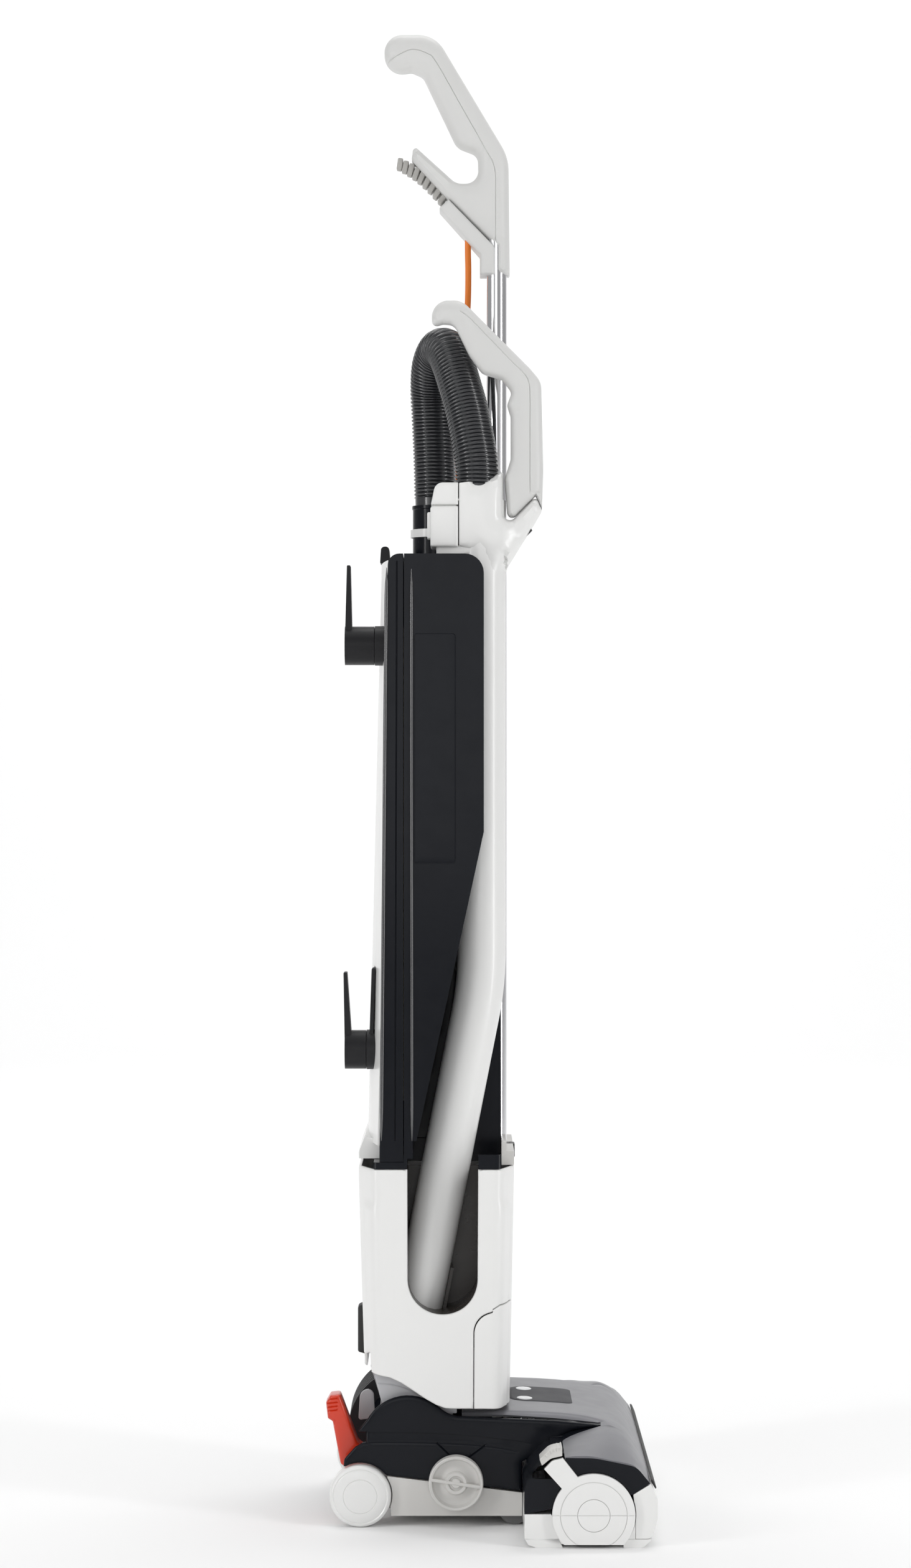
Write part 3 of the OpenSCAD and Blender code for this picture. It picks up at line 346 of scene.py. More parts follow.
def pillow(corners, centre_y, half, inset, side, step=2.0, grooves=(), shape=None, back=None):
    """Vertices in metres and faces of a plate in the XZ plane whose edges round over by inset.

    half is half its thickness and side half the height of its straight edge, in mm. grooves are
    (line, width, depth); shape(points, heights) may change the heights. back makes the far side flat.
    """
    edge = corners if isinstance(corners, np.ndarray) else outline(corners, step)
    points = np.concatenate([edge, pillow_points(edge, step, inset, grooves)])
    points, triangles = triangulated(edge, points)
    depth = distance_to(points, edge, True)
    depth[:len(edge)] = 0
    t = np.clip(depth / inset, 0, 1)
    height = side + (half - side) * np.sqrt(np.clip(1 - (1 - t) ** 2, 0, 1))
    height = even_out(height, triangles, depth > inset * 0.45)
    for line, width, cut in grooves:
        away = distance_to(points, line, False)
        height -= cut * np.exp(-(away / width) ** 2)
    if shape:
        height = shape(points, height)
    size = len(points)
    verts = [Vector((x, centre_y - h, z)) * MM for (x, z), h in zip(points, height)]
    behind = height if back is None else np.full(size, back)
    verts += [Vector((x, centre_y + h, z)) * MM for (x, z), h in zip(points, behind)]
    first = points[triangles[:, 1]] - points[triangles[:, 0]]
    second = points[triangles[:, 2]] - points[triangles[:, 0]]
    left = first[:, 0] * second[:, 1] - first[:, 1] * second[:, 0] > 0
    faces = [tuple(int(i) for i in (t if l else t[::-1])) for t, l in zip(triangles, left)]
    faces += [tuple(i + size for i in f[::-1]) for f in faces]
    rim = rim_loops(faces[:len(triangles)])
    faces += [(b, a, a + size, b + size) for a, b in rim]
    return verts, faces


def rim_loops(faces):
    """Directed edges that belong to one face only."""
    edges = {}
    for f in faces:
        for a, b in zip(f, f[1:] + f[:1]):
            edges[(a, b)] = edges.get((a, b), 0) + 1
    return [e for e in edges if (e[1], e[0]) not in edges]


def even_out(height, triangles, free, rounds=6):
    """Heights averaged with their neighbours where free."""
    pairs = np.concatenate([triangles[:, [0, 1]], triangles[:, [1, 2]], triangles[:, [2, 0]]])
    pairs = np.concatenate([pairs, pairs[:, ::-1]])
    for _ in range(rounds):
        total = np.zeros(len(height))
        number = np.zeros(len(height))
        np.add.at(total, pairs[:, 0], height[pairs[:, 1]])
        np.add.at(number, pairs[:, 0], 1)
        average = total / np.maximum(number, 1)
        height = np.where(free, 0.5 * height + 0.5 * average, height)
    return height


def joined(parts):
    """Several (verts, faces) as one."""
    verts, faces = [], []
    for part_verts, part_faces in parts:
        start = len(verts)
        verts += part_verts
        faces += [tuple(i + start for i in f) for f in part_faces]
    return verts, faces


def arc(centre, radius, start, end, step=8):
    """Corners without rounding along an arc, angles in degrees from +X towards +Z."""
    steps = max(1, math.ceil(abs(end - start) / step))
    angles = [math.radians(start + (end - start) * k / steps) for k in range(steps + 1)]
    return [(centre[0] + radius * math.cos(a), centre[1] + radius * math.sin(a), 0) for a in angles]


def lathe(centre, profile, sides=96):
    """Verts and faces of a shape turned about a line along Y, from (radius, y) points, in mm."""
    verts = []
    for radius, y in profile:
        for k in range(sides):
            a = 2 * math.pi * k / sides
            x, z = centre[0] + radius * math.cos(a), centre[1] + radius * math.sin(a)
            verts.append(Vector((x, y, z)) * MM)
    faces = ring_faces(len(profile), sides)
    for i in (0, len(profile) - 1):
        if profile[i][0] > 0.01:
            faces.append(tuple(range(i * sides, (i + 1) * sides)))
    return verts, faces


def sheet(rows, thickness):
    """Verts and faces of a curved plate from rows of (x, y, z) points, its top side given, in mm."""
    grid = np.array(rows, float)
    along = np.gradient(grid, axis=0)
    across = np.gradient(grid, axis=1)
    normal = np.cross(along, across)
    normal /= np.maximum(np.linalg.norm(normal, axis=2, keepdims=True), 1e-9)
    normal *= np.sign(normal[..., 2:3] + 1e-9)
    below = grid - normal * thickness
    count, width = grid.shape[:2]
    verts = [Vector(p) * MM for p in grid.reshape(-1, 3)] + [Vector(p) * MM for p in below.reshape(-1, 3)]
    half = count * width
    faces = []
    for i in range(count - 1):
        for j in range(width - 1):
            a = i * width + j
            quad = (a, a + 1, a + width + 1, a + width)
            faces += [quad, tuple(k + half for k in reversed(quad))]
    rim = [*range(width), *range(2 * width - 1, half, width), *range(half - 2, half - width - 1, -1),
           *range(half - 2 * width, 0, -width)]
    faces += [(a, b, b + half, a + half) for a, b in zip(rim, rim[1:] + rim[:1])]
    return verts, faces


def flip(part):
    """The same shape on the other side of the machine."""
    verts, faces = part
    return [Vector((v[0], -v[1], v[2])) for v in verts], [f[::-1] for f in faces]


# ---------------------------------------------------------------- materials

def base_material(name, colour, roughness):
    material = bpy.data.materials.new(name)
    material.use_nodes = True
    shader = material.node_tree.nodes["Principled BSDF"]
    shader.inputs["Base Color"].default_value = (*colour, 1)
    shader.inputs["Roughness"].default_value = roughness
    return material, material.node_tree, shader


def noise(tree, scale, detail=3.0, stretch=None):
    """Noise in the object's own metres."""
    place = tree.nodes.new("ShaderNodeTexCoord")
    mapping = tree.nodes.new("ShaderNodeMapping")
    tree.links.new(place.outputs["Object"], mapping.inputs["Vector"])
    if stretch:
        mapping.inputs["Scale"].default_value = stretch
    texture = tree.nodes.new("ShaderNodeTexNoise")
    texture.inputs["Scale"].default_value = scale
    texture.inputs["Detail"].default_value = detail
    tree.links.new(mapping.outputs["Vector"], texture.inputs["Vector"])
    return texture.outputs["Fac"]


def spread(tree, value, low, high):
    """The value's middle range spread from low to high."""
    ranger = tree.nodes.new("ShaderNodeMapRange")
    ranger.inputs["From Min"].default_value = 0.35
    ranger.inputs["From Max"].default_value = 0.65
    ranger.inputs["To Min"].default_value = low
    ranger.inputs["To Max"].default_value = high
    tree.links.new(value, ranger.inputs["Value"])
    return ranger.outputs["Result"]


def tint(tree, shader, value, dark, light):
    """Base colour between two close shades."""
    mix = tree.nodes.new("ShaderNodeMix")
    mix.data_type = "RGBA"
    mix.inputs[6].default_value = (*dark, 1)
    mix.inputs[7].default_value = (*light, 1)
    tree.links.new(value, mix.inputs[0])
    tree.links.new(mix.outputs[2], shader.inputs["Base Color"])


def bump(tree, shader, value, depth):
    """Relief of that depth in metres."""
    node = tree.nodes.new("ShaderNodeBump")
    node.inputs["Strength"].default_value = 1.0
    node.inputs["Distance"].default_value = depth
    tree.links.new(value, node.inputs["Height"])
    tree.links.new(node.outputs["Normal"], shader.inputs["Normal"])


def moulded(name, colour, roughness, grain=1600.0, depth=0.000006, shade=0.012, rough_spread=0.02,
            coat=0.0, specular=0.5):
    """Moulded plastic: a fine grain, faint flow shades and uneven gloss."""
    material, tree, shader = base_material(name, colour, roughness)
    dark = [c * (1 - shade) for c in colour]
    light = [min(1, c * (1 + shade)) for c in colour]
    tint(tree, shader, spread(tree, noise(tree, 9.0, 2.0, (1, 1, 0.35)), 0, 1), dark, light)
    rough = spread(tree, noise(tree, 60.0, 4.0), roughness - rough_spread, roughness + rough_spread)
    tree.links.new(rough, shader.inputs["Roughness"])
    bump(tree, shader, noise(tree, grain, 2.0), depth)
    shader.inputs["Coat Weight"].default_value = coat
    shader.inputs["Coat Roughness"].default_value = 0.08
    shader.inputs["Specular IOR Level"].default_value = specular
    return material


def metal(name, colour, roughness, stretch, scale=700.0, depth=0.00001):
    """Metal with fine marks drawn out along one direction."""
    material, tree, shader = base_material(name, colour, roughness)
    shader.inputs["Metallic"].default_value = 1
    marks = noise(tree, scale, 3.0, stretch)
    tree.links.new(spread(tree, marks, roughness * 0.7, roughness * 1.4), shader.inputs["Roughness"])
    tint(tree, shader, spread(tree, noise(tree, 12.0), 0, 1), [c * 0.93 for c in colour], colour)
    bump(tree, shader, marks, depth)
    return material


# Base colour, roughness and the rest of each plastic's values
PLASTICS = {
    "white_plastic": ((0.80, 0.80, 0.79), 0.30, {"coat": 0.25}),
    "handle_plastic": ((0.66, 0.66, 0.65), 0.42, {"depth": 0.00002}),
    "relief_rubber": ((0.42, 0.41, 0.39), 0.55, {"depth": 0.00006}),
    "light_grey_plastic": ((0.62, 0.61, 0.59), 0.38, {}),
    "yoke_grey_plastic": ((0.50, 0.50, 0.52), 0.30, {"coat": 0.3}),
    "black_gloss_plastic": ((0.007, 0.008, 0.011), 0.17,
                            {"depth": 0.00001, "shade": 0.1, "rough_spread": 0.03, "specular": 0.16}),
    "edge_gloss": ((0.012, 0.012, 0.015), 0.12, {"specular": 1.0, "coat": 1.0}),
    "black_matte_plastic": ((0.014, 0.014, 0.016), 0.42, {"depth": 0.00006, "specular": 0.25}),
    "grey_metallic_plastic": ((0.17, 0.17, 0.185), 0.36, {"shade": 0.05, "specular": 0.4}),
    "panel_dark": ((0.05, 0.05, 0.056), 0.5, {"specular": 0.12}),
    "lamp_lens": ((0.62, 0.63, 0.64), 0.2, {"coat": 0.6}),
    "red_plastic": ((0.62, 0.035, 0.008), 0.30, {"coat": 0.3}),
    "wheel_rubber": ((0.16, 0.16, 0.16), 0.62, {"depth": 0.0001}),
    "channel_brown": ((0.045, 0.038, 0.033), 0.28, {}),
    "black_rubber": ((0.02, 0.02, 0.02), 0.6, {"depth": 0.0001}),
    "hose_plastic": ((0.022, 0.023, 0.026), 0.20, {"depth": 0.00002, "specular": 0.8}),
    "orange_cable": ((0.80, 0.20, 0.015), 0.42, {}),
    "bristle": ((0.03, 0.03, 0.032), 0.5, {}),
    "filter_fleece": ((0.72, 0.71, 0.66), 0.9, {"grain": 500.0, "depth": 0.0004}),
    "bag_paper": ((0.60, 0.54, 0.44), 0.9, {"grain": 300.0, "depth": 0.0003}),
}
materials = {name: moulded(name, colour, roughness, **more)
             for name, (colour, roughness, more) in PLASTICS.items()}
materials["chrome_tube"] = metal("chrome_tube", (0.80, 0.80, 0.82), 0.10, (1, 1, 0.02))
materials["steel"] = metal("steel", (0.55, 0.55, 0.57), 0.30, (1, 0.05, 1))


# ---------------------------------------------------------------- hose and link cord

HOSE_RADIUS = 17.2 * MM
RIB_PITCH = 3.0 * MM
RIB_DEPTH = 1.7 * MM
HOSE_ROUTE = [
    (-41, 12, 801.3), (-41.4, 12, 824), (-42.2, 12, 848), (-43.3, 11, 872), (-44.2, 7.5, 893),
    (-43, -2.5, 912), (-38, -14, 923), (-32, -25.5, 922), (-26.8, -34.7, 910), (-21.4, -42.7, 892),
    (-16, -49.7, 872), (-11.6, -55.6, 850), (-8.2, -59.4, 828), (-7.5, -60, 802),
]
CORD_RADIUS = 2.5 * MM
CORD_ROUTE = [
    (-15, 0, 1016), (-15, 0, 1004), (-14.7, 2.5, 990), (-14.9, 9, 969), (-16, 17, 948),
    (-17, 24, 928), (-18.5, 30, 906), (-20.5, 35, 882), (-22.5, 39, 856), (-24.2, 42, 830),
    (-25.4, 43.6, 806), (-26, 44, 784), (-26, 44, 766),
]


def in_metres(points):
    return [Vector(p) * MM for p in points]


def make_hose():
    """Corrugated hose: one rib winds along it like a screw thread, with rounded crests."""
    steps = 8
    path, length = smooth_path(in_metres(HOSE_ROUTE), RIB_PITCH / steps)

    def radius_at(i, angle):
        phase = (i / steps + angle / (2 * math.pi)) % 1.0
        valley = abs(2 * phase - 1) ** 2.6
        ends = min(i, len(path) - 1 - i) / (2 * steps)
        return HOSE_RADIUS - RIB_DEPTH * (valley if ends > 1 else 0.5)

    verts, faces = tube(path, radius_at, 56)
    hose = new_piece("hose_corrugated", None, "hose_plastic", verts, faces)
    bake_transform(hose)
    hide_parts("hose")


def make_link_cord():
    """Orange cable that hangs from the clamp to the gland on the bag housing."""
    path, length = smooth_path(in_metres(CORD_ROUTE), 4 * MM)
    verts, faces = tube(path, lambda i, angle: CORD_RADIUS, 20)
    cord = new_piece("link_cable", "upright_body", "orange_cable", verts, faces)
    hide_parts("link_cord")


make_hose()
make_link_cord()


# ---------------------------------------------------------------- handles

HANDLE_HALF = 17
HANDLE_LINE = [
    (-82, 1146.2, 14), (-82, 1177.6, 14), (-41.2, 1177.6, 24), (17.6, 1079.4, 40), (18.5, 984.4, 1),
    (6.8, 984.4, 0), (6.8, 1007.2, 0), (-30.8, 1044.3, 0), (-60.4, 1077, 5), (-58.6, 1089.4, 2.5),
    (-24.4, 1058.4, 12), (-6.6, 1058.4, 10.5), (-7, 1082, 8), (-24, 1088.5, 12), (-51, 1145, 9),
    (-60, 1149, 6),
]
HANDLE_SEAM = [
    (-80, 1154.2), (-66, 1162), (-58, 1164), (-48, 1161), (-40.5, 1154), (-20, 1118), (-0.2, 1083),
    (4.8, 1074), (6.9, 1063), (7, 1040), (7, 984),
]
CLAMP_LINE = [
    (-30.6, 1045, 0), (-38.4, 1037.6, 1.5), (-5.4, 1000.6, 1.5), (-5.4, 984.6, 0.8), (6.4, 984.6, 0),
    (6.4, 1007, 0),
]


def make_handle():
    """Upper handle: rounded half shells with their seam, and the clamp that holds the cables."""
    seam = flow(HANDLE_SEAM, 0.8)
    body = pillow(HANDLE_LINE, 0, HANDLE_HALF, 10, 5, 2.0, [(seam, 0.32, 0.9)])
    clamp = pillow(CLAMP_LINE, 0, HANDLE_HALF - 1.6, 2.2, 11, 1.2)
    verts, faces = joined([body, clamp])
    handle = new_piece("handle", "upright_body", "handle_plastic", verts, faces)
    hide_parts("handle_shells")


def make_strain_relief():
    """Nine soft blocks threaded on a core, smaller towards the free end."""
    blocks, block_half, core_radius = 9, 2.15, 3.2
    parts, core = [], []
    for i in range(blocks):
        t = i / (blocks - 1)
        x, z = -34.6 - 35 * t, 1047.4 + 27.2 * t + 3.0 * math.sin(math.pi * t)
        slope = math.radians(38 - 30 * t)
        high, wide = 5.6 - 0.9 * t, 8.5 - 3 * t
        axis = np.array([-math.cos(slope), math.sin(slope)])
        up = np.array([axis[1], -axis[0]])
        box = [tuple(np.array([x, z]) + axis * a * block_half + up * b * high) + (1.1,)
               for a, b in ((-1, -1), (1, -1), (1, 1), (-1, 1))]
        parts.append(pillow(box, 0, wide, 1.2, wide - 1.2, 1.0))
        core.append(Vector((x, 0, z)) * MM)
    parts.append(tube(core, lambda i, a: core_radius * MM, 12))
    verts, faces = joined(parts)
    new_piece("strain_relief", "upright_body", "relief_rubber", verts, faces)


GRIP_HALF = 13
GRIP_LINE = [
    (-43.6, 936.4, 4), (-43.6, 957, 13), (-20, 957, 16), (33, 904, 14), (42.4, 893, 16), (44, 824, 0),
    (43, 793, 0), (38, 803.6, 0), (16.4, 781.6, 4), (13.6, 817, 2), (18.4, 832, 10), (18.4, 866, 5),
    (15.6, 875, 4), (19.4, 885, 6), (12, 895, 8), (-4, 900, 8), (-14, 914, 14), (-26, 938.5, 8),
    (-35, 939, 4),
]
GRIP_SEAM = [(-21, 947.6), (-14, 942.4), (2, 926), (19, 908.4), (28, 899.6), (32.4, 892), (33.4, 880),
             (33.4, 850), (33.4, 806)]


def make_grip():
    """Handle of the wand, with its seam."""
    seam = flow(GRIP_SEAM, 0.8)
    verts, faces = pillow(GRIP_LINE, -60, GRIP_HALF, 8, 4.5, 1.8, [(seam, 0.34, 0.9)])
    grip = new_piece("wand_handle", "wand", "handle_plastic", verts, faces)
    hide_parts("wand_grip")


make_handle()
make_strain_relief()
make_grip()


# ---------------------------------------------------------------- wand and hose rest

WAND_X, WAND_Y, WAND_RADIUS = -4.5, -60, 19
WAND_BEND_Z, WAND_LEAN, WAND_BEND_RADIUS, WAND_FOOT = 421, math.radians(11.1), 250, 277
COLLAR_LINE = [
    (-22.2, 812.4, 1), (-22.2, 762, 3), (-9, 757.5, 12), (-3.4, 744, 14), (-3.4, 722, 0), (13.6, 722, 0),
    (14.4, 745, 26), (37.2, 781.4, 3), (43.2, 792, 4), (38.4, 803.6, 3), (17.4, 782, 5), (12.6, 788, 3),
    (12.6, 824, 2), (4, 818.4, 30), (-8, 814.2, 30),
]


def make_wand():
    """Bent pipe, and the collar with the arm that carries the handle."""
    cut = WAND_BEND_RADIUS * math.tan(WAND_LEAN / 2)
    low = (-math.sin(WAND_LEAN), -math.cos(WAND_LEAN))
    places = [(WAND_X, 800), (WAND_X, 600)]
    for k in range(9):
        a = WAND_LEAN * k / 8
        places.append((WAND_X - WAND_BEND_RADIUS * (1 - math.cos(a)),
                       WAND_BEND_Z + cut - WAND_BEND_RADIUS * math.sin(a)))
    places.append((WAND_X + low[0] * WAND_FOOT, WAND_BEND_Z + low[1] * WAND_FOOT))
    path = [Vector((x, WAND_Y, z)) * MM for x, z in places]
    pipe = tube(path, lambda i, a: WAND_RADIUS * MM, 72)

    def collar_form(points, height):
        """Flat beside the slit, round like the pipe below, and narrower along the arm."""
        x, z = points[:, 0], points[:, 1]
        height = height * (1 - 0.24 * np.clip((x - 12) / 12, 0, 1))
        flat = np.clip((-6 - x) / 9, 0, 1) * np.clip((z - 758) / 6, 0, 1)
        height = height * (1 - flat) + 19.7 * flat
        pipe_height = np.sqrt(np.clip(18.8 ** 2 - (x - WAND_X) ** 2, 0, None))
        low = np.clip((768 - z) / 32, 0, 1) * np.clip((16 - x) / 2, 0, 1)
        low = low * low * (3 - 2 * low)
        return height * (1 - low) + pipe_height * low

    collar = pillow(COLLAR_LINE, WAND_Y, 20, 11, 4, 1.8, shape=collar_form)
    verts, faces = joined([pipe, collar])
    wand = new_piece("wand_pipe", "wand", "white_plastic", verts, faces)
    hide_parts("wand")


REST_Y, REST_HALF, REST_ROUND = -61, 21, 2.4
CUFF = (-41, 12)
STRAP_SECTION = [(18.9, 775), (20.3, 775.4), (20.3, 781.6), (18.9, 782)]


def rest_block(line):
    """One half of the block, with rounded edges."""
    return pillow(line, REST_Y, REST_HALF, REST_ROUND, REST_HALF - REST_ROUND, 1.6)


def make_hose_rest():
    """Block beside the collar with its slit, the strap round the cuff and its clip."""
    lower = rest_block([(-44.6, 762.4, 2), (-44.6, 794.4, 2.4), (-23, 794.4, 0.6), (-23, 762.4, 0.6)])
    upper = rest_block([(-44.2, 795.4, 0.6), (-40.6, 812.8, 7), (-23, 812.8, 0.6), (-23, 795.4, 0.6)])
    core = pillow([(-42, 790, 0), (-42, 800, 0), (-24, 800, 0), (-24, 790, 0)], -60, 18, 1, 17, 3)
    foot = pillow([(-40, 755.6, 0), (-40, 764, 0), (-13, 764, 2), (-13, 758, 2), (-24, 755.6, 0)],
                  REST_Y, 16, 1.6, 14, 1.6)
    clip = pillow([(-47.2, 769.2, 1.4), (-47.2, 790, 1.4), (-43.8, 790, 1), (-43.8, 769.2, 1)],
                  -66, 8, 1.2, 6.6, 1)
    sides, corners = 72, len(STRAP_SECTION)
    band = []
    for k in range(sides):
        a = 2 * math.pi * k / sides
        for radius, z in STRAP_SECTION:
            band.append(Vector((CUFF[0] + radius * math.cos(a), CUFF[1] + radius * math.sin(a), z)) * MM)
    faces = []
    for k in range(sides):
        here, following = corners * k, corners * ((k + 1) % sides)
        for c in range(corners):
            d = (c + 1) % corners
            faces.append((here + c, here + d, following + d, following + c))
    verts, faces = joined([lower, upper, core, foot, clip, (band, faces)])
    rest = new_piece("hose_rest", "upright_body", "white_plastic", verts, faces)
    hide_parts("hose_bracket")


make_wand()
make_hose_rest()


# ---------------------------------------------------------------- head

PLATE_CENTRE = [(57.5, 85.7), (66, 84.8), (76, 83.4), (86, 81.3), (96, 78.7), (104, 74.3), (110, 68.6),
                (115, 61.6), (119.5, 54.6), (122.5, 49.8)]
PLATE_INNER = [(57.5, 70.2), (66, 73), (76, 75.4), (86, 77.8), (95, 78.5), (103.4, 74.6), (109.6, 68.8),
               (115, 61.6), (119.5, 54.6), (122.5, 49.8)]
PLATE_OUTER = [(57.5, 68.4), (66, 69.3), (76, 69.3), (85, 67.8), (93, 66), (101, 64.6), (109, 62.4),
               (114.5, 57.6), (118.5, 52.8), (122.3, 48.3)]


def even_line(points, count):
    """That many points evenly along a smooth line through the given ones."""
    fine = flow(points, 0.2)
    at = np.linspace(0, len(fine) - 1, count)
    whole = np.minimum(at.astype(int), len(fine) - 2)
    part = (at - whole)[:, None]
    return fine[whole] * (1 - part) + fine[whole + 1] * part


def plate_height(x):
    """Height of the top cover's middle at x."""
    line = np.array([(-20, 86.9), (0, 87.4), (16, 87.6), (40, 86.8)] + PLATE_CENTRE[:4])
    return float(np.interp(x, line[:, 0], line[:, 1]))


def plate_drop(x):
    """How far the top cover's edge rolls down to the side cover at x."""
    edge = np.interp(x, (-28, 14, 52, 88), (85.6, 84.9, 82.4, 78.7))
    return max(0.0, (plate_height(x) - edge) * float(np.clip((92 - x) / 6, 0, 1)))


def make_top_cover():
    """Plate that is flat in the middle, with wings that roll down to the head's sides."""
    count = 40
    centre, inner, outer = (even_line(line, count) for line in (PLATE_CENTRE, PLATE_INNER, PLATE_OUTER))
    rear = [(x, plate_height(x)) for x in np.linspace(-20, 57.5, 20)]
    parts = []
    shoulder = np.linspace(0, 1, 7)
    ys = [*(-85.8 + 7 * shoulder), *np.linspace(-78.8, 78.8, 19)[1:-1], *(78.8 + 7 * shoulder)]
    middle = rear[:-1] + [tuple(p) for p in centre]
    parts.append(sheet([[(x, y, z - plate_drop(x) * max(0, (abs(y) - 78.8) / 7) ** 2.4) for y in ys]
                        for x, z in middle], 2.2))
    rows = []
    for c, i, o in zip(centre, inner, outer):
        edge = c[1] - plate_drop(c[0])
        row = [(c[0], -85.8, edge)]
        for t in (0.3, 0.6, 1.0):
            dip = 3 * t ** 2 - 2 * t ** 3
            row.append((c[0] + (i[0] - c[0]) * t, -85.8 - 10.2 * t, edge + (i[1] - edge) * dip))
        for t in np.linspace(0, 1, 22)[1:]:
            x, z = i + (o - i) * t ** 1.7
            row.append((x, -96 - 79.9 * t, z))
        rows.append(row)
    # Rear edge of each wing sweeps forward to the finger of the side cover
    finger, sweep_width = 30.5, 22
    swept = []
    for j in range(len(rows[0])):
        away = -rows[0][j][1] - 96
        start = finger * (1 - min(1, max(0, away) / sweep_width)) ** 2
        line = np.array([row[j] for row in rows])
        first = line[0, 0] + (start if away >= -0.1 else finger)
        first_index = np.interp(first, line[:, 0], np.arange(count))
        at = np.interp(np.linspace(0, 1, count), (0, 1), (first_index, count - 1))
        whole = np.minimum(at.astype(int), count - 2)
        part = (at - whole)[:, None]
        swept.append(line[whole] * (1 - part) + line[whole + 1] * part)
    wing = sheet(np.stack(swept, 1), 2.0)
    parts += [wing, flip(wing)]
    # Black sheets just below the wings, reaching back under the side covers, are painted shade: they darken
    # the undercut behind each wing's swept rear edge
    undercut_shade_rows = [[(x - (9.5 if n == 0 else 0), y, z - 0.5) for x, y, z in row[:16]]
                  for n, row in enumerate([rows[0]] + rows[:26])]
    undercut_shade_sheet = sheet(undercut_shade_rows, 1.2)
    # Painted shade: flat black sheets stand in for the shadow under the wings' rear edges
    for name, part in (("undercut_shade_right", undercut_shade_sheet), ("undercut_shade_left", flip(undercut_shade_sheet))):
        new_piece(name, "head", "black_gloss_plastic", *part)
    verts, faces = joined(parts)
    cover = new_piece("top_plate", "head", "grey_metallic_plastic", verts, faces)
    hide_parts("top_cover")


LAMP_X, LAMP_Y, LAMP_HALF_LENGTH, LAMP_HALF_WIDTH = 30, 22.7, 6.3, 7.7


def make_indicator_panel():
    """Dark panel let into the top cover, with two oval lamps."""
    edge = outline([(17.6, -35, 14), (68, -35, 6), (68, 35, 6), (17.6, 35, 14)], 3)
    centre = edge.mean(0)
    rings = [centre + (edge - centre) * k for k in (1, 0.985, 0.9, 0.7, 0.45, 0.2)]
    lifts = (-0.1, 0.28, 0.32, 0.32, 0.32, 0.32)
    count = len(edge)
    verts = [Vector((x, y, plate_height(x) + lift)) * MM
             for ring, lift in zip(rings, lifts) for x, y in ring]
    faces = ring_faces(len(rings), count)
    verts.append(Vector((centre[0], centre[1], plate_height(centre[0]) + 0.32)) * MM)
    last = (len(rings) - 1) * count
    faces += [(last + k, last + (k + 1) % count, len(verts) - 1) for k in range(count)]
    verts += [v - Vector((0, 0, 1.6 * MM)) for v in verts[:count]]
    low = len(verts) - count
    faces += [(k, (k + 1) % count, low + (k + 1) % count, low + k) for k in range(count)]
    faces.append(tuple(range(low, low + count)))
    panel = new_piece("display_panel", "head", "panel_dark", verts, faces)
    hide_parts("indicator_panel")
    lamps = []
    sides = 40
    profile = [(1, -0.2), (1, 0.5), (0.96, 0.72), (0.86, 0.86), (0.6, 0.95), (0.3, 1.0)]
    for y in (-LAMP_Y, LAMP_Y):
        lamp = []
        for scale, lift in profile:
            for k in range(sides):
                a = 2 * math.pi * k / sides
                x = LAMP_X + LAMP_HALF_LENGTH * scale * math.cos(a)
                across = y + LAMP_HALF_WIDTH * scale * math.sin(a)
                lamp.append(Vector((x, across, plate_height(x) + lift)) * MM)
        top = (len(profile) - 1) * sides
        caps = [tuple(range(top, top + sides)), tuple(range(sides - 1, -1, -1))]
        lamps.append((lamp, ring_faces(len(profile), sides) + caps))
    verts, faces = joined(lamps)
    lens = new_piece("lamp_lenses", "head", "lamp_lens", verts, faces)
    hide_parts("indicator_lamps")


NECK, WHEEL, KNOB = (-62, 65), (-99, 24), (-24.6, 34.8)
SIDE_LINE = (
    [(-112, 46.4, 0), (-111.6, 52, 5), (-103, 61.5, 4), (-97, 64.9, 0), (-94.5, 65.4, 0), (-94.5, 72.6, 0),
     (-101.5, 72.9, 1)]
    + arc(NECK, 36.4, 152, 54)
    + [(-29, 85.6, 24), (52, 82.2, 120), (88, 78.6, 0.6), (88, 77.6, 0.6), (62, 74, 30), (47, 60, 6),
       (26.7, 50, 0), (26.7, 27.2, 0), (-78.4, 39.2, 0)]
    + arc(WHEEL, 25, 40, 118)
)
UPPER_CREASE = [(-99, 73), (-80, 73.2), (-45, 72.6), (-10, 70.2), (22, 66.6), (36, 63.4)]
LOWER_CREASE = [(-93, 64.8), (-80, 65.2), (-45, 64.6), (-12, 63), (10, 60.6), (24, 58)]


def make_side_cover(sign, name, replaced):
    """Glossy side cover with a rounded rim and a soft recess between two creases."""
    upper, lower = flow(UPPER_CREASE, 1.4), flow(LOWER_CREASE, 1.4)
    bay = [spaced(line, 0.8) for line in ([(-39.3, 64.6), (-29.5, 55), (-25, 50)],
                                          [(-2.2, 62.6), (-14.7, 53.4), (-20, 49)])]

    def recess(points, height):
        top = np.interp(points[:, 0], upper[:, 0], upper[:, 1])
        foot = np.interp(points[:, 0], lower[:, 0], lower[:, 1])
        t = np.clip((points[:, 1] - foot) / (top - foot), 0, 1)
        fade = np.clip((34 - points[:, 0]) / 24, 0, 1) * np.clip((points[:, 0] + 97) / 3, 0, 1)
        return height - 1.2 * fade * np.where((t > 0) & (t < 1), 0.25 + 0.75 * t, 0)

    grooves = [(upper, 0.35, 0), (lower, 0.35, 0.3), (bay[0], 0.5, 0.9), (bay[1], 0.5, 0.9)]
    part = pillow(SIDE_LINE, -91, 5, 3.4, 3, 2.2, grooves, recess, back=-2.4)
    verts, faces = part if sign < 0 else flip(part)
    cover = new_piece(name, "head", "black_gloss_plastic", verts, faces)
    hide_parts(replaced)


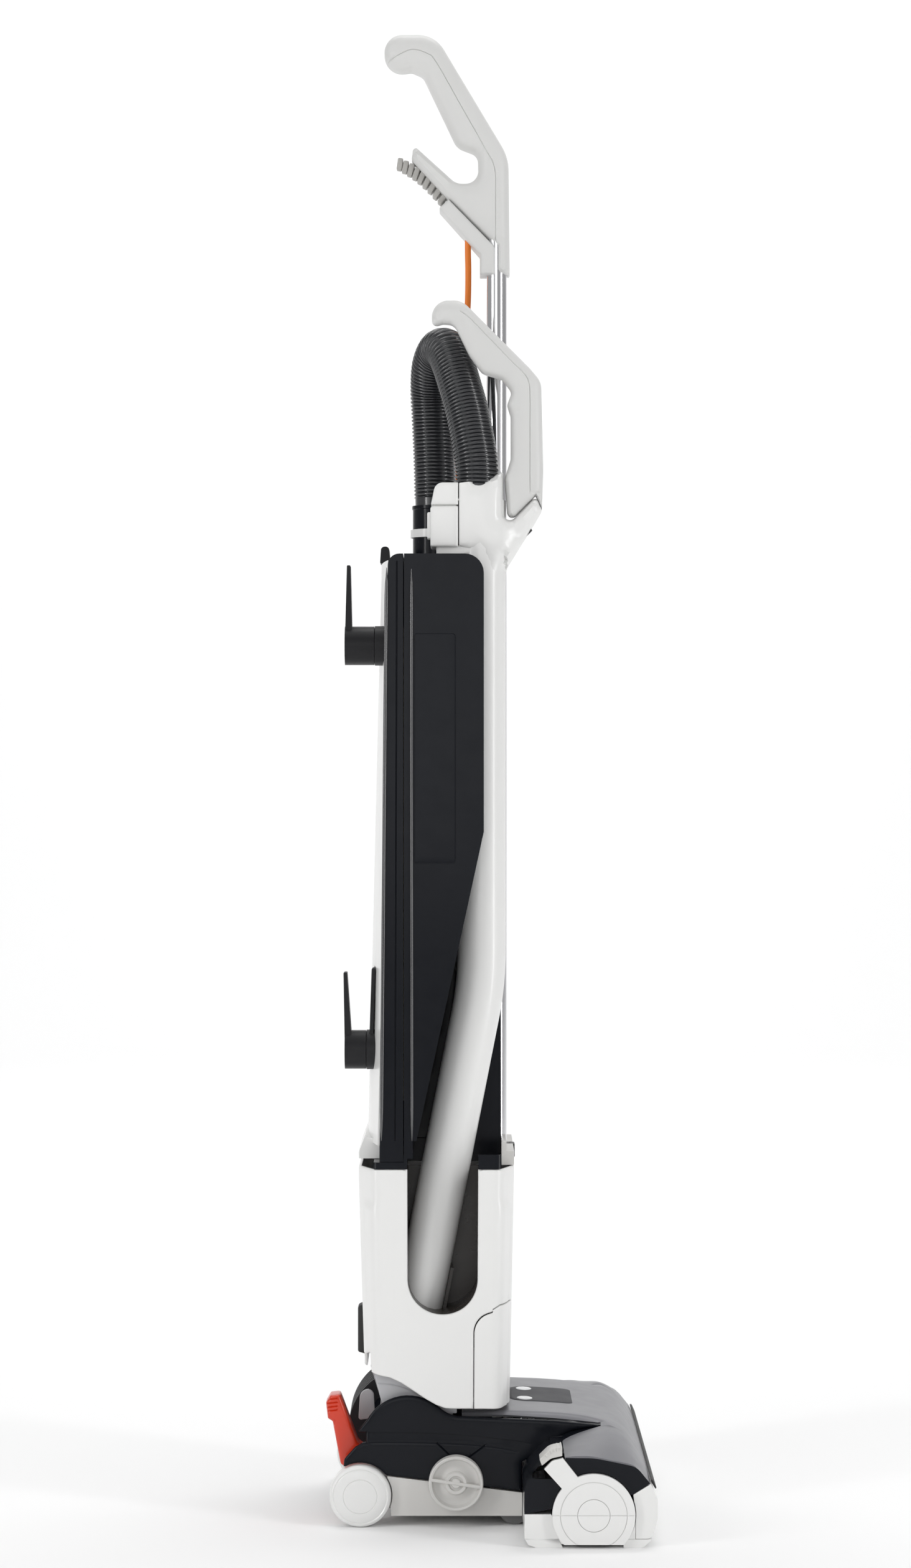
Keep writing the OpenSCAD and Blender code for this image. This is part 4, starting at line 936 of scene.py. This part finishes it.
PEDAL_LINE = [(-126.2, 93.6, 2.4), (-122.6, 99.4, 1.6), (-115.2, 100.2, 2.4), (-101, 62, 8), (-86, 52, 5),
              (-85, 37, 6), (-96, 35.6, 6), (-114.8, 45.6, 4), (-121, 79, 2), (-124.8, 81.4, 1.4)]


def make_pedal():
    """Red foot pedal with four grip lines and a small framed field."""
    ribs = [(spaced([(-127, z), (-117.5, z + 1.2)], 0.8), 0.45, 1.0) for z in (87, 90, 93, 96)]
    mark = spaced([(-123.2, 76.5), (-119.6, 76), (-118.9, 80.4), (-122.6, 80.9), (-123.2, 76.5)], 0.8)
    verts, faces = pillow(PEDAL_LINE, -71.8, 11.8, 3, 8.4, 1.8, ribs + [(mark, 0.35, 0.5)])
    pedal = new_piece("pedal", "foot_pedal", "red_plastic", verts, faces)
    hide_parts("foot_pedal")


RELEASE_TOP = [(39.4, 66.4), (43.4, 71.4), (49, 74.9), (55.6, 76.6)]


def make_release():
    """Release button: a curved band with eight ribs across."""
    band = pillow([(38.4, 67.4, 1), (40.2, 62.4, 0.5), (46.8, 67.8, 8), (55.6, 69.8, 0.5), (55.4, 76.6, 2),
                   (46, 74.8, 10)], -169, 10.4, 0.8, 9.6, 1.2)
    parts = [band]
    line = flow(RELEASE_TOP, 0.5)
    ribs, rib_half, rib_depth = 8, 0.62, 1.3
    for k in range(ribs):
        i = round((len(line) - 1) * (k + 0.5) / ribs)
        run = unit(line[min(i + 1, len(line) - 1)] - line[i - 1])
        up = np.array([-run[1], run[0]])
        at = line[i] - up
        box = [tuple(at + run * a * rib_half + up * b * rib_depth) + (0.5,)
               for a, b in ((-1, -1), (1, -1), (1, 1), (-1, 1))]
        parts.append(pillow(box, -169, 11, 0.4, 10.6, 0.8))
    verts, faces = joined(parts)
    button = new_piece("release_ribs", "release_button", "light_grey_plastic", verts, faces)
    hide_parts("release_button")


def make_knob():
    """Height knob: dished face with two rings and a bar across."""
    profile = [(0, -105.4), (3.2, -105.4), (3.7, -104.9), (4, -103.6), (5.4, -103.6), (6, -105), (8, -105.2),
               (8.7, -104.6), (9.4, -102.4), (13.6, -100.6), (17.4, -101.6), (18.4, -103.2), (18.9, -105.6),
               (20.4, -106), (21, -105.6), (21.2, -104.8), (21.2, -97), (20.4, -96.4), (6, -96.4), (6, -84.2),
               (0, -84.2)]
    dish = lathe(KNOB, profile)
    a = math.radians(-8.5)
    run, up = np.array([math.cos(a), math.sin(a)]), np.array([-math.sin(a), math.cos(a)])
    box = [tuple(np.array(KNOB) + run * i * 19.6 + up * j * 1.25) + (0.4,)
           for i, j in ((-1, -1), (1, -1), (1, 1), (-1, 1))]
    bar = pillow(box, -103, 2.9, 0.7, 2.2, 1.2)
    verts, faces = joined([dish, bar])
    knob = new_piece("knob", "height_knob", "light_grey_plastic", verts, faces)
    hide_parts("height_knob")


def make_rear_wheel(sign, name, node):
    """Wheel with a soft tread edge, a rim step and a fine groove round the hub disc."""
    profile = [(0, -102.3), (12.7, -102.3), (13.0, -101.9), (13.25, -101.9), (13.55, -102.3), (19.6, -102.1),
               (20.6, -101.4), (21.4, -101.9), (22.6, -101.5), (23.6, -100.2), (24, -98.6), (24, -87.4),
               (23.4, -85.9), (22, -84.4), (20.4, -84), (20, -95), (8, -95.4), (8, -84.2), (4.3, -84),
               (4.3, -97.8), (0, -97.8)]
    part = lathe(WHEEL, profile)
    verts, faces = part if sign < 0 else flip(part)
    wheel = new_piece(name, node, "white_plastic", verts, faces)
    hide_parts(node)


def make_yoke_cover():
    """Silver-grey cheek of the yoke under the motor housing, and the light lug behind it."""
    line = ([(-88.4, 116.8, 1), (-82.4, 94, 3)] + arc(NECK, 34, 122, 38)
            + [(-24, 86, 1), (-24, 91.2, 0), (-36, 91.3, 24), (-64, 116.4, 44)])
    ledge = flow([(-90, 109.5), (-76, 108.6), (-62, 105), (-50, 97.5), (-42, 91.5)], 1.2)
    cheek = pillow(line, -84.75, 0.7, 0.6, 0.4, 1.6, [(ledge, 0.6, 0.5)])
    lug = pillow([(-101.6, 75, 2), (-100.2, 99.4, 7), (-89.6, 99.4, 5), (-88.4, 77, 2)],
                 -51.4, 1.3, 0.8, 0.7, 1.4)
    verts, faces = joined([cheek, lug])
    new_piece("yoke_cheek", "upright_body", "yoke_grey_plastic", verts, faces)


make_top_cover()
make_indicator_panel()
make_yoke_cover()
make_side_cover(-1, "side_panel_right", "side_cover_right")
make_side_cover(1, "side_panel_left", "side_cover_left")
make_pedal()
make_release()
make_knob()
make_rear_wheel(-1, "wheel_right", "rear_wheel_right")
make_rear_wheel(1, "wheel_left", "rear_wheel_left")


# ---------------------------------------------------------------- bag housing

def bead(line, y, radius):
    """Slim half-round step edge along (x, z) points on a flat side at y."""
    path = [Vector((x, y, z)) * MM for x, z in flow(line, 12)]
    return tube(path, lambda i, a: radius * MM * min(1, (min(i, len(path) - 1 - i) + 0.3) / 1.6), 20)


def make_step_edges():
    """Rounded step edges down both sides of the lid and the housing, and a shallow side panel."""
    lid = bead([(-78.4, 745), (-79.4, 650), (-80.7, 500), (-82.6, 300)], -100, 1.5)
    new_piece("lid_step_edges", "bag_lid", "edge_gloss", *joined([lid, flip(lid)]))
    step = bead([(-59.2, 744), (-59.3, 600), (-59, 450), (-58.8, 300)], -100, 1.3)
    plate = pillow([(-57, 515, 2), (-57, 694, 2), (-24.6, 694, 3), (-24.6, 515, 3)],
                   -99.9, 0.55, 1.2, 0.15, 4,
                   back=0)
    new_piece("housing_step_edges", "upright_body", "edge_gloss", *joined([step, flip(step)]))
    new_piece("housing_side_plates", "upright_body", "black_gloss_plastic", *joined([plate, flip(plate)]))


def make_channel_walls():
    """Sloping front wall of the bag space, and the flat walls that close the side channels beside it."""
    foot, head, right = (-60.4, 296.5), (-26.4, 438), -23.6
    side = [(*foot, 0), (right, foot[1], 0), (right, head[1], 0), (*head, 0)]
    parts = [pillow(side, y, 0.6, 0.3, 0.3, 6) for y in (-36.2, 95.6)]
    slope = [(foot[0] + (head[0] - foot[0]) * t, foot[1] + (head[1] - foot[1]) * t)
             for t in np.linspace(0, 1, 5)]
    parts.append(sheet([[(x, y, z) for y in np.linspace(-96.6, 96.6, 9)] for x, z in slope], 1.0))
    new_piece("channel_walls", "upright_body", "black_gloss_plastic", *joined(parts))


make_step_edges()
make_channel_walls()


# ---------------------------------------------------------------- motor housing

HOUSING_TOP = 277.6
HOUSING_PLAN = [(-101, -70, 14), (-89, -100, 8), (11, -100, 8), (21, -70, 14), (21, 70, 14), (11, 100, 8),
                (-89, 100, 8), (-101, 70, 14)]
HOUSING_FOOT = [(-104, 119), (-90, 118.3), (-78, 116), (-68, 111.8), (-58, 106), (-48, 99.3), (-40, 94.8),
                (-33, 92.2), (-26, 91.8), (24, 91.8)]
SLOT_LINE = [(-62.4, 300, 0), (-62.4, 165, 27.3), (-7.4, 165, 27.3), (-7.4, 300, 0)]
EXHAUST_LINE = [(-10.5, 60, 0), (-10.5, 162, 16), (24, 174, 0), (40, 174, 0), (40, 60, 0)]
PEDAL_Y, PEDAL_SWEEP = (-88, -56), 76
WALL = 2.4
REAR_LEAN, REAR_LEAN_TOP, REAR_LEAN_DROP = 5, 269, 164
FRONT_LEAN, FRONT_LEAN_TOP, FRONT_LEAN_DROP = 3.4, 273, 173
WEDGE_Z, WEDGE_DEPTH = 249.4, 1.3


def housing_walk():
    """Plan outline from the rear's middle round the near side: lengths, places and outward directions."""
    loop = outline(HOUSING_PLAN, 2)
    start = int(np.argmin(np.abs(loop[:, 1]) + (loop[:, 0] > -90) * 1000))
    loop = np.roll(loop, -start, 0)
    if loop[3, 1] > loop[0, 1]:
        loop = np.roll(loop[::-1], 1, 0)
    if abs(loop[0, 1]) < 0.01:
        loop = loop[loop[:, 1] != 0]
    rear = [[HOUSING_PLAN[0][0], 0]]
    loop = np.concatenate([rear, loop, rear])
    keep = [0] + [i for i in range(1, len(loop)) if np.linalg.norm(loop[i] - loop[i - 1]) > 0.01]
    loop = loop[keep]
    length = np.concatenate([[0], np.cumsum(np.linalg.norm(np.diff(loop, axis=0), axis=1))])
    run = np.gradient(loop, axis=0)
    out = np.stack([run[:, 1], -run[:, 0]], 1)
    out /= np.linalg.norm(out, axis=1)[:, None]
    if out[0, 0] > 0:
        out = -out
    return length, loop, out


def foot_height(x, y):
    """Lower edge of the housing, raised where the pedal passes."""
    line = np.array(HOUSING_FOOT)
    z = float(np.interp(x, line[:, 0], line[:, 1]))
    if PEDAL_Y[0] < y < PEDAL_Y[1] and x < NECK[0]:
        z = max(z, NECK[1] + math.sqrt(PEDAL_SWEEP ** 2 - (x - NECK[0]) ** 2))
    return z


def wrapped(low_line, high_line, step, rounding, seam):
    """Verts and faces of a wall on the housing's plan between two lines of (length, z)."""
    length, loop, out = housing_walk()
    edge = np.concatenate([low_line, high_line[::-1]])
    edge = spaced([tuple(p) for p in edge], step, closed=True)
    low, high = edge.min(0), edge.max(0)
    grid = np.stack(np.meshgrid(np.arange(low[0], high[0], step),
                                np.arange(low[1], high[1], step)), -1).reshape(-1, 2)
    inward = inward_from(edge)
    chosen = []
    for k in (0.12, 0.35, 0.65, 1.0):
        ring = edge + inward * rounding * k
        ring = ring[inside(ring, edge)]
        chosen.append(ring[distance_to(ring, edge, True) > rounding * k * 0.96])
    if seam:
        chosen = [c[(c[:, 0] > 0.6) & (c[:, 0] < length[-1] - 0.6)] for c in chosen]
    grid = grid[inside(grid, edge)]
    chosen.append(grid[distance_to(grid, edge, True) > rounding + step * 0.45])
    points, triangles = triangulated(edge, np.concatenate([edge] + chosen))
    depth = np.minimum(distance_to(points, low_line, False), distance_to(points, high_line, False))
    t = np.clip(depth / rounding, 0, 1)
    sunk = rounding * (1 - np.sqrt(np.clip(1 - (1 - t) ** 2, 0, 1)))
    s, z = points[:, 0], points[:, 1]
    place = np.stack([np.interp(s, length, loop[:, k]) for k in (0, 1)], 1)
    normal = np.stack([np.interp(s, length, out[:, k]) for k in (0, 1)], 1)
    # Soft swell of the corners below the two wedge marks
    corner = np.clip(np.maximum(-78 - place[:, 0], place[:, 0] + 2) / 12, 0, 1) * (np.abs(place[:, 1]) > 80)
    below = np.clip((WEDGE_Z + corner * 1.5 - z) / 2.6, 0, 1)
    sunk = sunk - WEDGE_DEPTH * corner * below * (3 - 2 * below) * below
    verts = []
    for inset in (0, WALL):
        spot = place - normal * (sunk if inset == 0 else np.full(len(s), WALL))[:, None]
        # Rear and front lean in towards the foot
        rear = np.clip((-58 - spot[:, 0]) / 43, 0, 1) * (z < REAR_LEAN_TOP)
        front = np.clip((spot[:, 0] + 18) / 39, 0, 1) * (z < FRONT_LEAN_TOP)
        x = spot[:, 0] + REAR_LEAN * (REAR_LEAN_TOP - z) / REAR_LEAN_DROP * rear
        x = x - FRONT_LEAN * (FRONT_LEAN_TOP - z) / FRONT_LEAN_DROP * front
        verts += [Vector((a, b, c)) * MM for a, b, c in zip(x, spot[:, 1], z)]
    size = len(points)
    faces = [tuple(int(i) for i in f) for f in triangles]
    rim = rim_loops(faces)
    faces += [tuple(i + size for i in f[::-1]) for f in faces]
    faces += [(b, a, a + size, b + size) for a, b in rim
              if not (seam and points[a, 0] == points[b, 0] and points[a, 0] in (0, length[-1]))]
    return verts, faces


def make_motor_housing():
    """White housing wall with its slot for the wand, and the exhaust cover below the front."""
    length, loop, _ = housing_walk()
    total = length[-1]
    side = np.abs(loop[:, 1]) > 99.9
    near = side & (loop[:, 1] < 0)
    far = side & (loop[:, 1] > 0)

    def along(x, mask):
        order = np.argsort(loop[mask][:, 0])
        return float(np.interp(x, loop[mask][order, 0], length[mask][order]))

    slot = [(along(x, near), z) for x, z in outline(SLOT_LINE, 1.5) if z < HOUSING_TOP]
    slot.sort(key=lambda p: math.atan2(p[0] - along(-34.9, near), HOUSING_TOP - p[1]))
    slot = [(slot[0][0], HOUSING_TOP)] + slot + [(slot[-1][0], HOUSING_TOP)]
    high = np.array([(0, HOUSING_TOP)] + slot + [(total, HOUSING_TOP)])
    start, end = along(-10.5, near), along(-10.5, far)
    curve = [(x, z) for x, z in outline(EXHAUST_LINE, 1.0) if x < 11 and z > 146]
    curve.sort(key=lambda p: p[0] * 0.2 + p[1])

    def over_front(gap):
        left = [(along(min(x + gap, 10.9), near), z - gap) for x, z in curve]
        line = [(p, 172.6 - gap) for p in np.arange(left[-1][0] + 6, (start + end) / 2, 4)]
        half = [(start + gap, 0)] + left + line
        return half + [(start + end - a, z) for a, z in reversed(half)]

    def foot_at(s):
        x, y = float(np.interp(s, length, loop[:, 0])), float(np.interp(s, length, loop[:, 1]))
        return foot_height(x, y)

    arch = over_front(0)
    arch[0], arch[-1] = (start, foot_at(start)), (end, foot_at(end))
    low = [(s, foot_at(s)) for s in np.arange(0, start, 1.5)] + arch
    low += [(s, foot_at(s)) for s in np.arange(end + 1.5, total, 1.5)] + [(total, foot_at(total))]
    verts, faces = wrapped(np.array(low), high, 4, 1.5, True)
    housing = new_piece("housing_wall", "upright_body", "white_plastic", verts, faces)
    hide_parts("motor_housing")
    arch = over_front(0.7)
    arch[0], arch[-1] = (start + 0.7, foot_at(start)), (end - 0.7, foot_at(end))
    low = [(s, foot_at(s)) for s in np.arange(start + 0.7, end - 0.7, 1.5)] + [(end - 0.7, foot_at(end))]
    verts, faces = wrapped(np.array(low), np.array(arch), 4, 1.1, False)
    cover = new_piece("exhaust_door", "exhaust_cover", "white_plastic", verts, faces)
    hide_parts("exhaust_cover")


def make_switch():
    """Soft black pad of the power switch on the rear."""
    line = [(-103.2, 122, 2), (-103.2, 158.6, 3), (-98, 160.4, 1), (-96.4, 160.4, 1), (-96.4, 120.6, 1),
            (-98, 120.6, 1)]
    verts, faces = pillow(line, 0, 9, 2, 7, 1.4)
    switch = new_piece("switch_pad", "power_switch", "black_rubber", verts, faces)
    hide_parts("power_switch")


make_motor_housing()
make_switch()


# ---------------------------------------------------------------- CAD nodes

PLAIN_BEVEL = 0.5
BEVELS = {"bag_housing": 3.0, "bag_lid": 3.2}
SHADES = {"wand_channel": "channel_brown", "bumper_strip": "black_rubber"}


def dress_cad_nodes():
    """Materials from the record's slots, and small rounded edges."""
    for part in frame["record"]["subparts"]:
        obj = nodes[part["node"]]
        obj.data.materials.clear()
        obj.data.materials.append(materials[SHADES.get(part["node"], part["material_slot"])])
        obj.data.shade_smooth()
        weld = obj.modifiers.new("weld", "WELD")
        weld.merge_threshold = 0.00001
        flat = obj.modifiers.new("flat", "DECIMATE")
        flat.decimate_type = "DISSOLVE"
        flat.angle_limit = math.radians(0.4)
        round_edges = obj.modifiers.new("round", "BEVEL")
        round_edges.width = BEVELS.get(part["node"], PLAIN_BEVEL) * MM
        round_edges.segments = 2
        round_edges.limit_method = "ANGLE"
        round_edges.angle_limit = math.radians(32)
        round_edges.harden_normals = False
        even = obj.modifiers.new("even", "WEIGHTED_NORMAL")
        even.keep_sharp = False


dress_cad_nodes()
